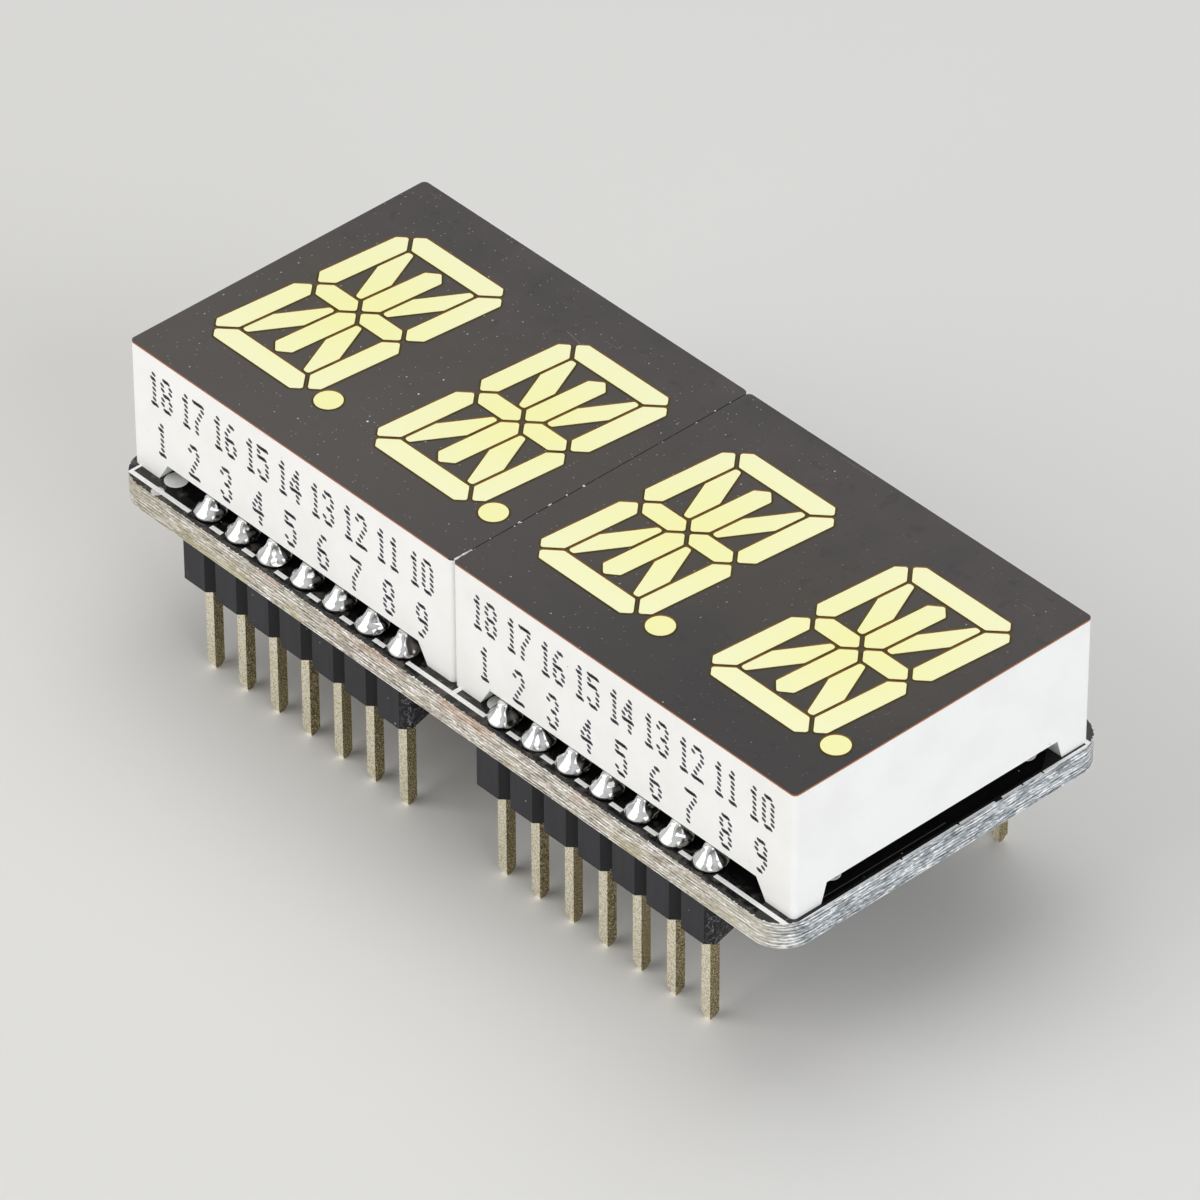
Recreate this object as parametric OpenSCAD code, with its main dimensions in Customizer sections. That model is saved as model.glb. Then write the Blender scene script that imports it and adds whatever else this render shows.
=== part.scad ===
// Four-character alphanumeric LED display module.
// Two dual-character, 14-segment displays stand side by side on a circuit board. The board
// carries their driver chip underneath and plugs in through two rows of square header pins.
// Frame: +X runs along the row of characters, -Y is the edge at their feet, and +Z points out
// of the display faces. The origin is on the plane of the pin tips, under the board's middle.

/* [Displays] */
// Width of one dual-character display
display_w = 25.05; // [23.5:0.05:32]
// Depth of a display, along its characters' height
display_d = 20.5; // [18.5:0.1:26]
// Height of a display's face above the circuit board
display_h = 8; // [6.5:0.1:12]
// Gap between the two displays
display_gap = 0.05; // [0.02:0.01:1]
// Radius of a display's upright edges
display_corner_r = 0.3; // [0.1:0.05:0.8]
// Thickness of the reflector's outer walls round the potting
reflector_wall = 1; // [0.7:0.1:1.4]
// Thickness of the black face layer
face_t = 0.1; // [0.06:0.01:0.3]
// Height of the corner feet
foot_h = 1.2; // [0.8:0.1:2]
// Length of a foot's sole along X
foot_w = 2; // [1:0.1:2.5]
// Length of a foot's sole along Y
foot_d = 1.9; // [1:0.1:2.5]
// How much longer a foot is at its root than at its sole, along X
foot_flare_w = 0.7; // [0:0.1:1]
// How much longer a foot is at its root than at its sole, along Y
foot_flare_d = 0.35; // [0:0.05:1]

/* [Characters] */
// Height of a character
char_h = 13.74; // [11:0.02:16.5]
// Width of a character
char_w = 8.21; // [7:0.01:9.9]
// Distance between the two characters of a display
char_pitch = 12.67; // [12:0.01:14]
// How far the pair of characters is moved right, to leave room for the decimal points
char_shift = 0.155; // [0:0.005:0.3]
// Lean of the characters, in degrees
char_slant = 5; // [0:0.5:8]
// Width of a light bar
bar_w = 1.3; // [1:0.05:1.6]
// Width of the two middle bars
mid_bar_w = 1.22; // [1:0.02:1.6]
// Gap between bars that meet on a mitre
mitre_gap = 0.25; // [0.15:0.01:0.4]
// Gap between bars that run side by side
side_gap = 0.21; // [0.15:0.01:0.4]
// Legs of the cut across each outer corner of a character
corner_cut = 1.1; // [0.6:0.05:1.4]
// Length of a diagonal bar's upright sides
diagonal_side = 2; // [1.5:0.05:2.4]
// Width of a diagonal bar's tips
diagonal_tip = 0.38; // [0.2:0.02:0.6]
// Length of the central bars' outer points
stem_point = 0.55; // [0.3:0.05:0.65]
// Radius of the light bars' corners
bar_corner_r = 0.14; // [0.05:0.01:0.2]
// Diameter of a decimal point
point_d = 1.56; // [1.2:0.02:1.9]
// How far the light bars stand above the black face
bar_proud = 0.02; // [0.01:0.01:0.05]

/* [Inside a display] */
// Depth of the lamp cups under the light bars
cup_h = 1.2; // [0.6:0.1:2]
// Diameter of a lamp cup where it opens into its bar
cup_top_d = 1.1; // [0.9:0.05:1.15]
// Diameter of a lamp cup at its floor
cup_floor_d = 0.8; // [0.5:0.05:0.9]
// Thickness of the lamp board that closes the cups
lamp_board_t = 1; // [0.8:0.1:1.6]
// Clearance round the lamp board
lamp_board_gap = 0.1; // [0.05:0.05:0.3]
// Thickness of the potting under the lamp board
potting_t = 1; // [0.6:0.1:1.2]
// How far the potting lies inside the reflector's rim
potting_sink = 0.2; // [0.1:0.05:0.4]
// Side of a square LED chip
led_w = 0.3; // [0.2:0.02:0.4]
// Thickness of an LED chip
led_t = 0.15; // [0.1:0.01:0.25]

/* [Display pins] */
// Diameter of a display's round pins
display_pin_d = 0.5; // [0.4:0.02:0.6]
// Distance between neighbouring display pins
display_pin_pitch = 2.54; // [2.54:0.01:2.6]
// Pins in one row of a display
display_pin_count = 9; // [5:1:9]
// Distance from a display's front or back to its nearer row of pins
display_row_inset = 2.63; // [2.2:0.01:3]
// Diameter of the board's holes for the display pins
display_hole_d = 0.8; // [0.7:0.05:1]
// How far the display pins reach below the board
display_pin_tail = 1.5; // [1:0.1:2]

/* [Circuit board] */
// How far the board reaches past the displays at each end
board_margin_x = 0.325; // [0.2:0.005:3]
// How far the board reaches past the displays at the front and at the back
board_margin_y = 1.18; // [1.18:0.01:3]
// Thickness of the circuit board
board_t = 1.6; // [0.8:0.1:2.4]
// Radius of the board's corners
board_corner_r = 1.9; // [0.5:0.1:2.4]

/* [Header pins] */
// Distance between neighbouring header pins
pin_pitch = 2.54; // [2.54, 2.5]
// Side of a square header pin
pin_w = 0.64; // [0.5:0.02:0.68]
// Length of the header pins below their plastic strip
pin_below = 6.1; // [4:0.1:9]
// Height of the header pins above the board
pin_above = 0.9; // [0.6:0.05:0.95]
// Height of the plastic strip
strip_h = 2.54; // [2:0.02:3]
// Legs of the notches between the strip's cells
strip_notch = 0.45; // [0.2:0.05:0.6]
// Length of the taper at a pin's ends
pin_taper_l = 0.45; // [0.2:0.05:0.8]
// Side of a pin's square end
pin_end_w = 0.34; // [0.2:0.02:0.4]
// Diameter of the board's holes for the header pins
pin_hole_d = 1; // [0.98:0.01:1.1]

/* [Solder] */
// Diameter of the solder round a header pin, at the board
joint_d = 1.9; // [1.4:0.05:2]
// Diameter of that solder's neck
joint_neck_d = 0.98; // [0.96:0.01:1.1]
// Thickness of the solder over a header pin's end
joint_cap = 0.12; // [0.05:0.01:0.2]
// Diameter of the solder round a display pin, at the board
tail_joint_d = 1.6; // [1.2:0.05:1.7]
// Diameter of the neck of the solder round a display pin
tail_neck_d = 0.66; // [0.6:0.02:0.8]
// Height of the solder round a display pin
tail_joint_h = 0.9; // [0.5:0.05:1.2]

/* [Driver chip] */
// Length of the driver chip's body
chip_l = 17.9; // [15:0.1:19]
// Width of the driver chip's body
chip_w = 7.5; // [6.5:0.1:8]
// Height of the driver chip above the board's underside
chip_h = 2.45; // [2:0.05:2.54]
// Gap between the chip's body and the board
chip_standoff = 0.15; // [0.1:0.05:0.3]
// Inward lean of the chip's moulded sides
chip_draft = 0.2; // [0.1:0.02:0.3]
// Leads on each side of the chip
lead_count = 14; // [8:1:14]
// Distance between neighbouring leads
lead_pitch = 1.27; // [1.27:0.01:1.3]
// Width of a lead
lead_w = 0.41; // [0.3:0.01:0.5]
// Thickness of a lead
lead_t = 0.25; // [0.2:0.01:0.3]
// Distance across the tips of opposite leads
lead_span = 10.3; // [9.6:0.1:10.6]
// Length of a lead's flat foot
lead_foot = 0.75; // [0.5:0.05:0.9]
// Diameter of the dimple that marks the chip's first lead
dimple_d = 1.2; // [0.8:0.1:1.6]
// Depth of that dimple
dimple_depth = 0.1; // [0.05:0.05:0.2]
// Distance of the dimple's middle from the chip's two nearest sides
dimple_inset = 1.6; // [1:0.1:2.5]

/* [Small parts] */
// Length of a resistor or capacitor
smd_l = 2; // [1.6:0.1:2.2]
// Width of a resistor or capacitor
smd_w = 1.25; // [0.8:0.05:1.3]
// Height of a resistor
resistor_h = 0.5; // [0.4:0.05:0.7]
// Height of a capacitor
capacitor_h = 1.1; // [0.6:0.05:1.3]
// Length of a metal end
smd_end = 0.4; // [0.3:0.05:0.5]
// How far a metal end stands proud of the ceramic body
smd_end_proud = 0.03; // [0.01:0.01:0.05]
// Side of a bare jumper pad
pad_w = 1.1; // [0.8:0.1:1.3]
// Gap between the two pads of a jumper
pad_gap = 0.3; // [0.2:0.05:0.5]
// Thickness of the pads
pad_t = 0.04; // [0.03:0.01:0.07]

/* [Hidden] */

$fn = 48;
corner_steps = 2; // chords in a light bar's rounded corner
solder_steps = 6; // rings in a solder joint's flank
overcut = 1; // how far a cutting shape runs past the face that it cuts

FRONT = -1;
BACK = 1;
LEFT = -1;
RIGHT = 1;

// The board and its levels
board_w = 2 * display_w + display_gap + 2 * board_margin_x;
board_d = display_d + 2 * board_margin_y;
board_under_z = pin_below + strip_h;
board_top_z = board_under_z + board_t;
display_x = (display_w + display_gap) / 2;
display_row_span = display_d - 2 * display_row_inset;

// A header strip is one pitch deep, flush with the board's edge. Its first cell and number of
// cells count in pitches from the board's middle. The two middle places of each row stay
// empty, because the displays' inner corner feet stand over them.
header_y = board_d / 2 - pin_pitch / 2;
//                side   first cell  cells
FRONT_LEFT =     [FRONT, -7.5,       7];
FRONT_RIGHT =    [FRONT,  1.5,       7];
BACK_LEFT =      [BACK,  -3.5,       3];
BACK_RIGHT =     [BACK,   1.5,       7];
STRIPS = [FRONT_LEFT, FRONT_RIGHT, BACK_LEFT, BACK_RIGHT];

// Levels inside a display, above the board
potting_z = foot_h + potting_sink;
lamp_board_z = potting_z + potting_t;
cup_floor_z = lamp_board_z + lamp_board_t;
bar_floor_z = cup_floor_z + cup_h;
face_z = display_h - face_t;

// Lines that the light bars are drawn on, for an upright character about its own centre
side_x = char_w / 2 - bar_w / 2;      // middle of the outer upright bars
side_in = char_w / 2 - bar_w;         // their inner edge
top_y = char_h / 2;                   // top edge of the top bar
top_in = char_h / 2 - bar_w;          // its lower edge
half_bar = bar_w / 2;
half_mid = mid_bar_w / 2;
tip = mitre_gap / sqrt(2);            // from a crossing to the point of a bar that meets there
mitre = top_in - side_in;             // y - x along the mitre of an outer corner
chamfer = char_w / 2 + top_y - corner_cut; // x + y along the cut across an outer corner
stem_top = top_in - side_gap;
cell_l = half_bar + side_gap;         // the panel that a diagonal bar crosses
cell_r = side_in - side_gap;
cell_b = half_mid + side_gap;
cell_t = top_in - side_gap;

// Outlines of the six kinds of bar, each anticlockwise and in the upper right quarter
TOP_BAR = [
    [chamfer - top_y, top_y], [top_y - chamfer, top_y],
    [(mitre + tip - chamfer) / 2, (chamfer + mitre + tip) / 2],
    [mitre + tip - top_in, top_in], [top_in - mitre - tip, top_in],
    [(chamfer - mitre - tip) / 2, (chamfer + mitre + tip) / 2]
];
SIDE_BAR = [
    [side_x, tip], [char_w / 2, tip + half_bar], [char_w / 2, chamfer - char_w / 2],
    [(chamfer - mitre + tip) / 2, (chamfer + mitre - tip) / 2],
    [side_in, side_in + mitre - tip], [side_in, tip + half_bar]
];
MID_BAR = [
    [tip, 0], [tip + half_mid, -half_mid], [side_x - tip - half_mid, -half_mid],
    [side_x - tip, 0], [side_x - tip - half_mid, half_mid], [tip + half_mid, half_mid]
];
STEM_BAR = [
    [0, tip], [half_bar, tip + half_bar], [half_bar, stem_top - stem_point],
    [0, stem_top], [-half_bar, stem_top - stem_point], [-half_bar, tip + half_bar]
];
DIAGONAL_BAR = [
    [cell_l, cell_b], [cell_l + diagonal_tip, cell_b], [cell_r, cell_t - diagonal_side],
    [cell_r, cell_t], [cell_r - diagonal_tip, cell_t], [cell_l, cell_b + diagonal_side]
];
BARS = [
    TOP_BAR, turned(TOP_BAR),
    SIDE_BAR, across(SIDE_BAR), turned(SIDE_BAR), across(turned(SIDE_BAR)),
    MID_BAR, across(MID_BAR),
    STEM_BAR, turned(STEM_BAR),
    DIAGONAL_BAR, across(DIAGONAL_BAR), turned(DIAGONAL_BAR), across(turned(DIAGONAL_BAR))
];
POINT_AT = [char_w / 2 + side_gap + point_d / 2, -top_y + point_d / 2];

// Places of the small parts on the underside
RESISTORS = [[13, -3.2], [13, 0], [13, 3.2]];
CAPACITORS = [[17.5, -2], [17.5, 2]];
JUMPERS = [[-13, 0], [-16, 0], [-19, 0]];

// An outline mirrored left to right, and turned half a turn, each still anticlockwise
function across(points) = [for (i = [len(points) - 1 : -1 : 0]) [-points[i][0], points[i][1]]];
function turned(points) = [for (p = points) -p];

function unit(v) = v / norm(v);
function leaning(p) = [p[0] + p[1] * tan(char_slant), p[1]];
function total(points, i = 0) = i == len(points) ? [0, 0] : points[i] + total(points, i + 1);
function middle(points) = total(points) / len(points);

// A convex anticlockwise outline with each corner rounded to radius r
function rounded(points, r) = [
    for (i = [0 : len(points) - 1])
        let (
            corner = points[i],
            back = unit(points[(i + len(points) - 1) % len(points)] - corner),
            ahead = unit(points[(i + 1) % len(points)] - corner),
            half_angle = acos(back * ahead) / 2,
            centre = corner + unit(back + ahead) * r / sin(half_angle),
            touch = corner + back * r / tan(half_angle) - centre,
            start = atan2(touch[1], touch[0])
        )
        for (k = [0 : corner_steps])
            let (a = start + (180 - 2 * half_angle) * k / corner_steps)
            centre + r * [cos(a), sin(a)]
];

// Flank of a soldered joint: full at the board, then drawn in round the pin
function solder_flank(foot_r, neck_r, h) = [
    for (k = [0 : solder_steps])
        [neck_r + (foot_r - neck_r) * (1 + cos(180 * k / solder_steps)) / 2, h * k / solder_steps]
];

function display_pin_places() = [
    for (row = [FRONT, BACK], i = [0 : display_pin_count - 1])
        [(i - (display_pin_count - 1) / 2) * display_pin_pitch, row * display_row_span / 2]
];
function header_places(strip) = [
    for (i = [0 : strip[2] - 1]) [(strip[1] + i) * pin_pitch, strip[0] * header_y]
];

module at_each(places) {
    for (p = places) translate([p[0], p[1], 0]) children();
}

// Puts a part of a display, drawn about the display's centre with the board's top at z = 0
module on_board(side) {
    translate([side * display_x, 0, board_top_z]) children();
}

// Hangs a part under the board: its z = 0 is the underside, and its +Z points down
module under_board() {
    translate([0, 0, board_under_z]) rotate([180, 0, 0]) children();
}

// A plate with round upright corners, centred on the origin
module rounded_plate(w, d, h, r) {
    linear_extrude(h) {
        square([w - 2 * r, d], center = true);
        square([w, d - 2 * r], center = true);
        for (x = [-1, 1], y = [-1, 1]) translate([x * (w / 2 - r), y * (d / 2 - r)]) circle(r);
    }
}

// A bar of square section along Z, with both ends tapered
module tapered_pin(w, length, end_w, taper_l) {
    outline = [
        [-end_w / 2, 0], [end_w / 2, 0], [w / 2, taper_l], [w / 2, length - taper_l],
        [end_w / 2, length], [-end_w / 2, length], [-w / 2, length - taper_l], [-w / 2, taper_l]
    ];
    intersection() {
        rotate([90, 0, 0]) linear_extrude(w, center = true) polygon(outline);
        rotate([90, 0, 90]) linear_extrude(w, center = true) polygon(outline);
    }
}

// ---- Circuit board ----

module circuit_board() {
    color("#16161a") difference() {
        translate([0, 0, board_under_z]) rounded_plate(board_w, board_d, board_t, board_corner_r);
        translate([0, 0, board_under_z - overcut]) {
            for (strip = STRIPS) at_each(header_places(strip))
                cylinder(d = pin_hole_d, h = board_t + 2 * overcut);
            for (side = [LEFT, RIGHT]) translate([side * display_x, 0, 0])
                at_each(display_pin_places()) cylinder(d = display_hole_d, h = board_t + 2 * overcut);
        }
    }
}

// ---- One display ----

// Runs its children at each character of a display
module at_characters() {
    for (i = [-1, 1]) translate([i * char_pitch / 2 + char_shift, 0, 0]) children();
}

// The 14 bars and the decimal point of one character, as upright prisms
module bar_prisms(z, h) {
    translate([0, 0, z]) {
        for (bar = BARS)
            linear_extrude(h) polygon(rounded([for (p = bar) leaning(p)], bar_corner_r));
        translate(leaning(POINT_AT)) cylinder(d = point_d, h = h);
    }
}

// Places of the lamps of one character: under the middle of each bar and of the point
LAMPS = [for (bar = BARS) leaning(middle(bar)), leaning(POINT_AT)];

module cups() {
    at_each(LAMPS) translate([0, 0, cup_floor_z])
        cylinder(d1 = cup_floor_d, d2 = cup_top_d, h = cup_h);
}

module leds() {
    at_each(LAMPS) translate([0, 0, cup_floor_z + led_t / 2])
        cube([led_w, led_w, led_t], center = true);
}

// A foot in the corner at +X +Y of the display, with its two inner sides leaning
module foot() {
    x_profile = [[0, 0], [-foot_w, 0], [-foot_w - foot_flare_w, foot_h], [0, foot_h]];
    y_profile = [[0, 0], [-foot_d, 0], [-foot_d - foot_flare_d, foot_h], [0, foot_h]];
    translate([display_w / 2, display_d / 2, 0]) intersection() {
        rotate([90, 0, 0]) linear_extrude(foot_d + foot_flare_d) polygon(x_profile);
        translate([-foot_w - foot_flare_w, 0, 0])
            rotate([90, 0, 90]) linear_extrude(foot_w + foot_flare_w) polygon(y_profile);
    }
}

module recess(gap, z, h) {
    w = display_w - 2 * reflector_wall - 2 * gap;
    d = display_d - 2 * reflector_wall - 2 * gap;
    translate([-w / 2, -d / 2, z]) cube([w, d, h]);
}

// White moulding: four feet, a rim round the lamp board, and a light well over each lamp
module reflector() {
    difference() {
        intersection() {
            rounded_plate(display_w, display_d, face_z, display_corner_r);
            union() {
                translate([-display_w / 2, -display_d / 2, foot_h])
                    cube([display_w, display_d, face_z - foot_h]);
                foot();
                mirror([1, 0, 0]) foot();
                mirror([0, 1, 0]) foot();
                mirror([1, 0, 0]) mirror([0, 1, 0]) foot();
            }
        }
        recess(0, foot_h - overcut, cup_floor_z - foot_h + overcut);
        at_characters() {
            bar_prisms(bar_floor_z, face_z - bar_floor_z + overcut);
            cups();
        }
    }
}

module face() {
    difference() {
        translate([0, 0, face_z])
            rounded_plate(display_w, display_d, face_t, display_corner_r);
        at_characters() bar_prisms(face_z - overcut, face_t + 2 * overcut);
    }
}

// Cast resin: it fills the wells, stands just proud of the black face and bares the lamps
module light_bars() {
    difference() {
        at_characters() {
            bar_prisms(bar_floor_z, display_h + bar_proud - bar_floor_z);
            cups();
        }
        at_characters() leds();
    }
}

module lamp_board() {
    difference() {
        recess(lamp_board_gap, lamp_board_z, lamp_board_t);
        at_each(display_pin_places()) cylinder(d = display_pin_d, h = display_h);
    }
}

module potting() {
    difference() {
        recess(0, potting_z, potting_t);
        at_each(display_pin_places()) cylinder(d = display_pin_d, h = display_h);
    }
}

module display_pins() {
    at_each(display_pin_places()) translate([0, 0, -board_t - display_pin_tail])
        cylinder(d = display_pin_d, h = cup_floor_z + board_t + display_pin_tail);
}

// Solder fillets under the board, each with the plug that has risen into the hole
module tail_joints() {
    flank = solder_flank(tail_joint_d / 2, tail_neck_d / 2, tail_joint_h);
    at_each(display_pin_places()) difference() {
        union() {
            translate([0, 0, -board_t]) rotate([180, 0, 0])
                rotate_extrude() polygon(concat([[0, 0]], flank, [[0, tail_joint_h]]));
            translate([0, 0, -board_t]) cylinder(d = display_hole_d, h = board_t);
        }
        translate([0, 0, -board_t - tail_joint_h - overcut])
            cylinder(d = display_pin_d, h = board_t + tail_joint_h + 2 * overcut);
    }
}

module left_reflector() { color("white") on_board(LEFT) reflector(); }
module right_reflector() { color("white") on_board(RIGHT) reflector(); }
module left_face() { color("#4a4648") on_board(LEFT) face(); }
module right_face() { color("#4a4648") on_board(RIGHT) face(); }
module left_light_bars() { color("#f8f8a8") on_board(LEFT) light_bars(); }
module right_light_bars() { color("#f8f8a8") on_board(RIGHT) light_bars(); }
module left_lamp_board() { color("#3f6b45") on_board(LEFT) lamp_board(); }
module right_lamp_board() { color("#3f6b45") on_board(RIGHT) lamp_board(); }
module left_led_chips() { color("#8fa7c4") on_board(LEFT) at_characters() leds(); }
module right_led_chips() { color("#8fa7c4") on_board(RIGHT) at_characters() leds(); }
module left_potting() { color("#ece7c8") on_board(LEFT) potting(); }
module right_potting() { color("#ece7c8") on_board(RIGHT) potting(); }
module left_display_pins() { color("silver") on_board(LEFT) display_pins(); }
module right_display_pins() { color("silver") on_board(RIGHT) display_pins(); }
module left_tail_joints() { color("#c9cbcf") on_board(LEFT) tail_joints(); }
module right_tail_joints() { color("#c9cbcf") on_board(RIGHT) tail_joints(); }

// ---- Header pins ----

// Outline of a strip of cells, notched between cells and at its ends, from its first pin
function strip_outline(cells) =
    let (
        h = pin_pitch / 2,
        side = [
            for (i = [0 : cells - 1])
                each [
                    [i * pin_pitch - h + strip_notch, -h],
                    [i * pin_pitch + h - strip_notch, -h],
                    [i * pin_pitch + h, -h + strip_notch]
                ]
        ]
    )
    concat(side, [for (p = side) [(cells - 1) * pin_pitch - p[0], -p[1]]]);

module strip(s) {
    color("#26262b") difference() {
        translate([s[1] * pin_pitch, s[0] * header_y, pin_below])
            linear_extrude(strip_h) polygon(strip_outline(s[2]));
        at_each(header_places(s)) translate([0, 0, pin_below + strip_h / 2])
            cube([pin_w, pin_w, strip_h + 2 * overcut], center = true);
    }
}

module pins(s) {
    color("#b8a878") at_each(header_places(s))
        tapered_pin(pin_w, board_top_z + pin_above, pin_end_w, pin_taper_l);
}

// Solder over the trimmed pin ends, each with the plug that has run down the hole
module joints(s) {
    flank = solder_flank(joint_d / 2, joint_neck_d / 2, pin_above);
    cap = [[joint_neck_d / 2 - joint_cap, pin_above + joint_cap], [0, pin_above + joint_cap]];
    color("#c9cbcf") at_each(header_places(s)) difference() {
        translate([0, 0, board_top_z]) union() {
            rotate_extrude() polygon(concat([[0, 0]], flank, cap));
            translate([0, 0, -board_t]) cylinder(d = pin_hole_d, h = board_t);
        }
        tapered_pin(pin_w, board_top_z + pin_above, pin_end_w, pin_taper_l);
    }
}

module front_left_strip() { strip(FRONT_LEFT); }
module front_right_strip() { strip(FRONT_RIGHT); }
module back_left_strip() { strip(BACK_LEFT); }
module back_right_strip() { strip(BACK_RIGHT); }
module front_left_pins() { pins(FRONT_LEFT); }
module front_right_pins() { pins(FRONT_RIGHT); }
module back_left_pins() { pins(BACK_LEFT); }
module back_right_pins() { pins(BACK_RIGHT); }
module front_left_joints() { joints(FRONT_LEFT); }
module front_right_joints() { joints(FRONT_RIGHT); }
module back_left_joints() { joints(BACK_LEFT); }
module back_right_joints() { joints(BACK_RIGHT); }

// ---- Underside ----

// Side of the chip's body: upright where the leads come out, leaning in above and below
function chip_profile(w) =
    let (
        lead_z = (chip_standoff + chip_h) / 2,
        a = lead_z - lead_t / 2,
        b = lead_z + lead_t / 2
    )
    [
        [w / 2, a], [w / 2, b], [w / 2 - chip_draft, chip_h], [chip_draft - w / 2, chip_h],
        [-w / 2, b], [-w / 2, a], [chip_draft - w / 2, chip_standoff],
        [w / 2 - chip_draft, chip_standoff]
    ];

module driver_chip() {
    color("#232326") under_board() difference() {
        intersection() {
            rotate([90, 0, 90]) linear_extrude(chip_l, center = true) polygon(chip_profile(chip_w));
            rotate([90, 0, 0]) linear_extrude(chip_w, center = true) polygon(chip_profile(chip_l));
        }
        translate([dimple_inset - chip_l / 2, dimple_inset - chip_w / 2, chip_h - dimple_depth])
            cylinder(d = dimple_d, h = overcut);
    }
}

// One gull-wing lead, from the body's side out, down and along the board
module lead() {
    lead_z = (chip_standoff + chip_h) / 2;
    root = chip_w / 2;
    toe = lead_span / 2;
    heel = toe - lead_foot;
    knee = (root + heel) / 2;
    rotate([90, 0, 90]) linear_extrude(lead_w, center = true) polygon([
        [toe, 0], [toe, lead_t], [heel + lead_t, lead_t], [knee + lead_t, lead_z + lead_t / 2],
        [root, lead_z + lead_t / 2], [root, lead_z - lead_t / 2], [knee, lead_z - lead_t / 2],
        [heel, 0]
    ]);
}

module driver_leads() {
    color("silver") under_board()
        for (turn = [0, 180], i = [0 : lead_count - 1])
            rotate([0, 0, turn]) translate([(i - (lead_count - 1) / 2) * lead_pitch, 0, 0]) lead();
}

module smd_body(h) {
    l = smd_l - 2 * smd_end;
    w = smd_w - 2 * smd_end_proud;
    translate([-w / 2, -l / 2, smd_end_proud]) cube([w, l, h - 2 * smd_end_proud]);
}

module smd_ends(h) {
    for (y = [-smd_l / 2, smd_l / 2 - smd_end])
        translate([-smd_w / 2, y, 0]) cube([smd_w, smd_end, h]);
}

module resistor_bodies() { color("#1b1b1e") under_board() at_each(RESISTORS) smd_body(resistor_h); }
module resistor_ends() { color("silver") under_board() at_each(RESISTORS) smd_ends(resistor_h); }
module capacitor_bodies() { color("#a58863") under_board() at_each(CAPACITORS) smd_body(capacitor_h); }
module capacitor_ends() { color("silver") under_board() at_each(CAPACITORS) smd_ends(capacitor_h); }

module jumper_pads() {
    color("#c9cbcf") under_board() at_each(JUMPERS)
        for (y = [-pad_gap / 2 - pad_w, pad_gap / 2])
            translate([-pad_w / 2, y, 0]) cube([pad_w, pad_w, pad_t]);
}

circuit_board();
left_reflector();
right_reflector();
left_face();
right_face();
left_light_bars();
right_light_bars();
left_lamp_board();
right_lamp_board();
left_led_chips();
right_led_chips();
left_potting();
right_potting();
left_display_pins();
right_display_pins();
left_tail_joints();
right_tail_joints();
front_left_strip();
front_right_strip();
back_left_strip();
back_right_strip();
front_left_pins();
front_right_pins();
back_left_pins();
back_right_pins();
front_left_joints();
front_right_joints();
back_left_joints();
back_right_joints();
driver_chip();
driver_leads();
resistor_bodies();
resistor_ends();
capacitor_bodies();
capacitor_ends();
jumper_pads();
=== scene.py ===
import math
import random

import bpy
from mathutils import Matrix, Quaternion, Vector


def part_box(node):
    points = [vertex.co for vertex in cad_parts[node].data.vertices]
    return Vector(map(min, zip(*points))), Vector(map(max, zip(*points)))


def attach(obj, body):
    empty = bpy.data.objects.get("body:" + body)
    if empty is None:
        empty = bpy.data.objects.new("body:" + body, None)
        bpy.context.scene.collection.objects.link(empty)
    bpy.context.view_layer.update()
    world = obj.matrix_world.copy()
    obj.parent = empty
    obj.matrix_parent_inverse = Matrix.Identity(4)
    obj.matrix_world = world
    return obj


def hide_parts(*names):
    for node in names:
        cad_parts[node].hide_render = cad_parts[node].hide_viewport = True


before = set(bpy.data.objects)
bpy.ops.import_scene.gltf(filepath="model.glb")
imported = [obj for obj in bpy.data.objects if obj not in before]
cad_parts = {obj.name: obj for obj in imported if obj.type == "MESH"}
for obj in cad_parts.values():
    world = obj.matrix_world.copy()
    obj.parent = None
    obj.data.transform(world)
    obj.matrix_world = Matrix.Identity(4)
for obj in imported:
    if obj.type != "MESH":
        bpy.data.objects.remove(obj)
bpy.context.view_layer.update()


# ==== Camera ====
# A long lens looks down on the module's front right corner, so the characters read from the
# upper left to the lower right and the front row of header pins shows below the board.

mm = 0.001
camera_azimuth = math.radians(47.6)  # from straight in front, round towards the right-hand end
camera_elevation = math.radians(38.82)
camera_distance = 479.9 * mm
camera_roll = math.radians(-0.2)
camera_aim = Vector((-0.2, 0, 10)) * mm
camera_lens = 279.9
camera_sensor = 36  # its width in mm

camera_side = Vector((
    math.cos(camera_elevation) * math.sin(camera_azimuth),
    -math.cos(camera_elevation) * math.cos(camera_azimuth),
    math.sin(camera_elevation),
))
bpy.ops.object.camera_add(location=camera_aim + camera_side * camera_distance)
camera = bpy.context.object
camera.name = "camera"
camera_turn = camera_side.to_track_quat("Z", "Y") @ Quaternion((0, 0, 1), camera_roll)
camera.rotation_euler = camera_turn.to_euler()
camera.data.sensor_width = camera_sensor
camera.data.lens = camera_lens
bpy.context.scene.camera = camera
bpy.context.scene.view_settings.view_transform = "Standard"


# ==== Floor and studio light ====
# The module stands on its header pins on a plain pale table top. Two large soft lamps light
# the front and the right-hand end, and a third hangs over the faces.

floor_size = 4.0
floor_colour = "e4e3e0"
world_colour = "eceef0"
world_light = 0.36  # strength of the surroundings where they light the object
world_shown = 0.85  # strength where they are seen, directly or in a glossy surface


def tone(code):
    """A colour from its usual six-figure code, as the plain light values that shaders take."""
    parts = [int(code[i:i + 2], 16) / 255 for i in (0, 2, 4)]
    return (*[p / 12.92 if p <= 0.04045 else ((p + 0.055) / 1.055) ** 2.4 for p in parts], 1)


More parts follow.
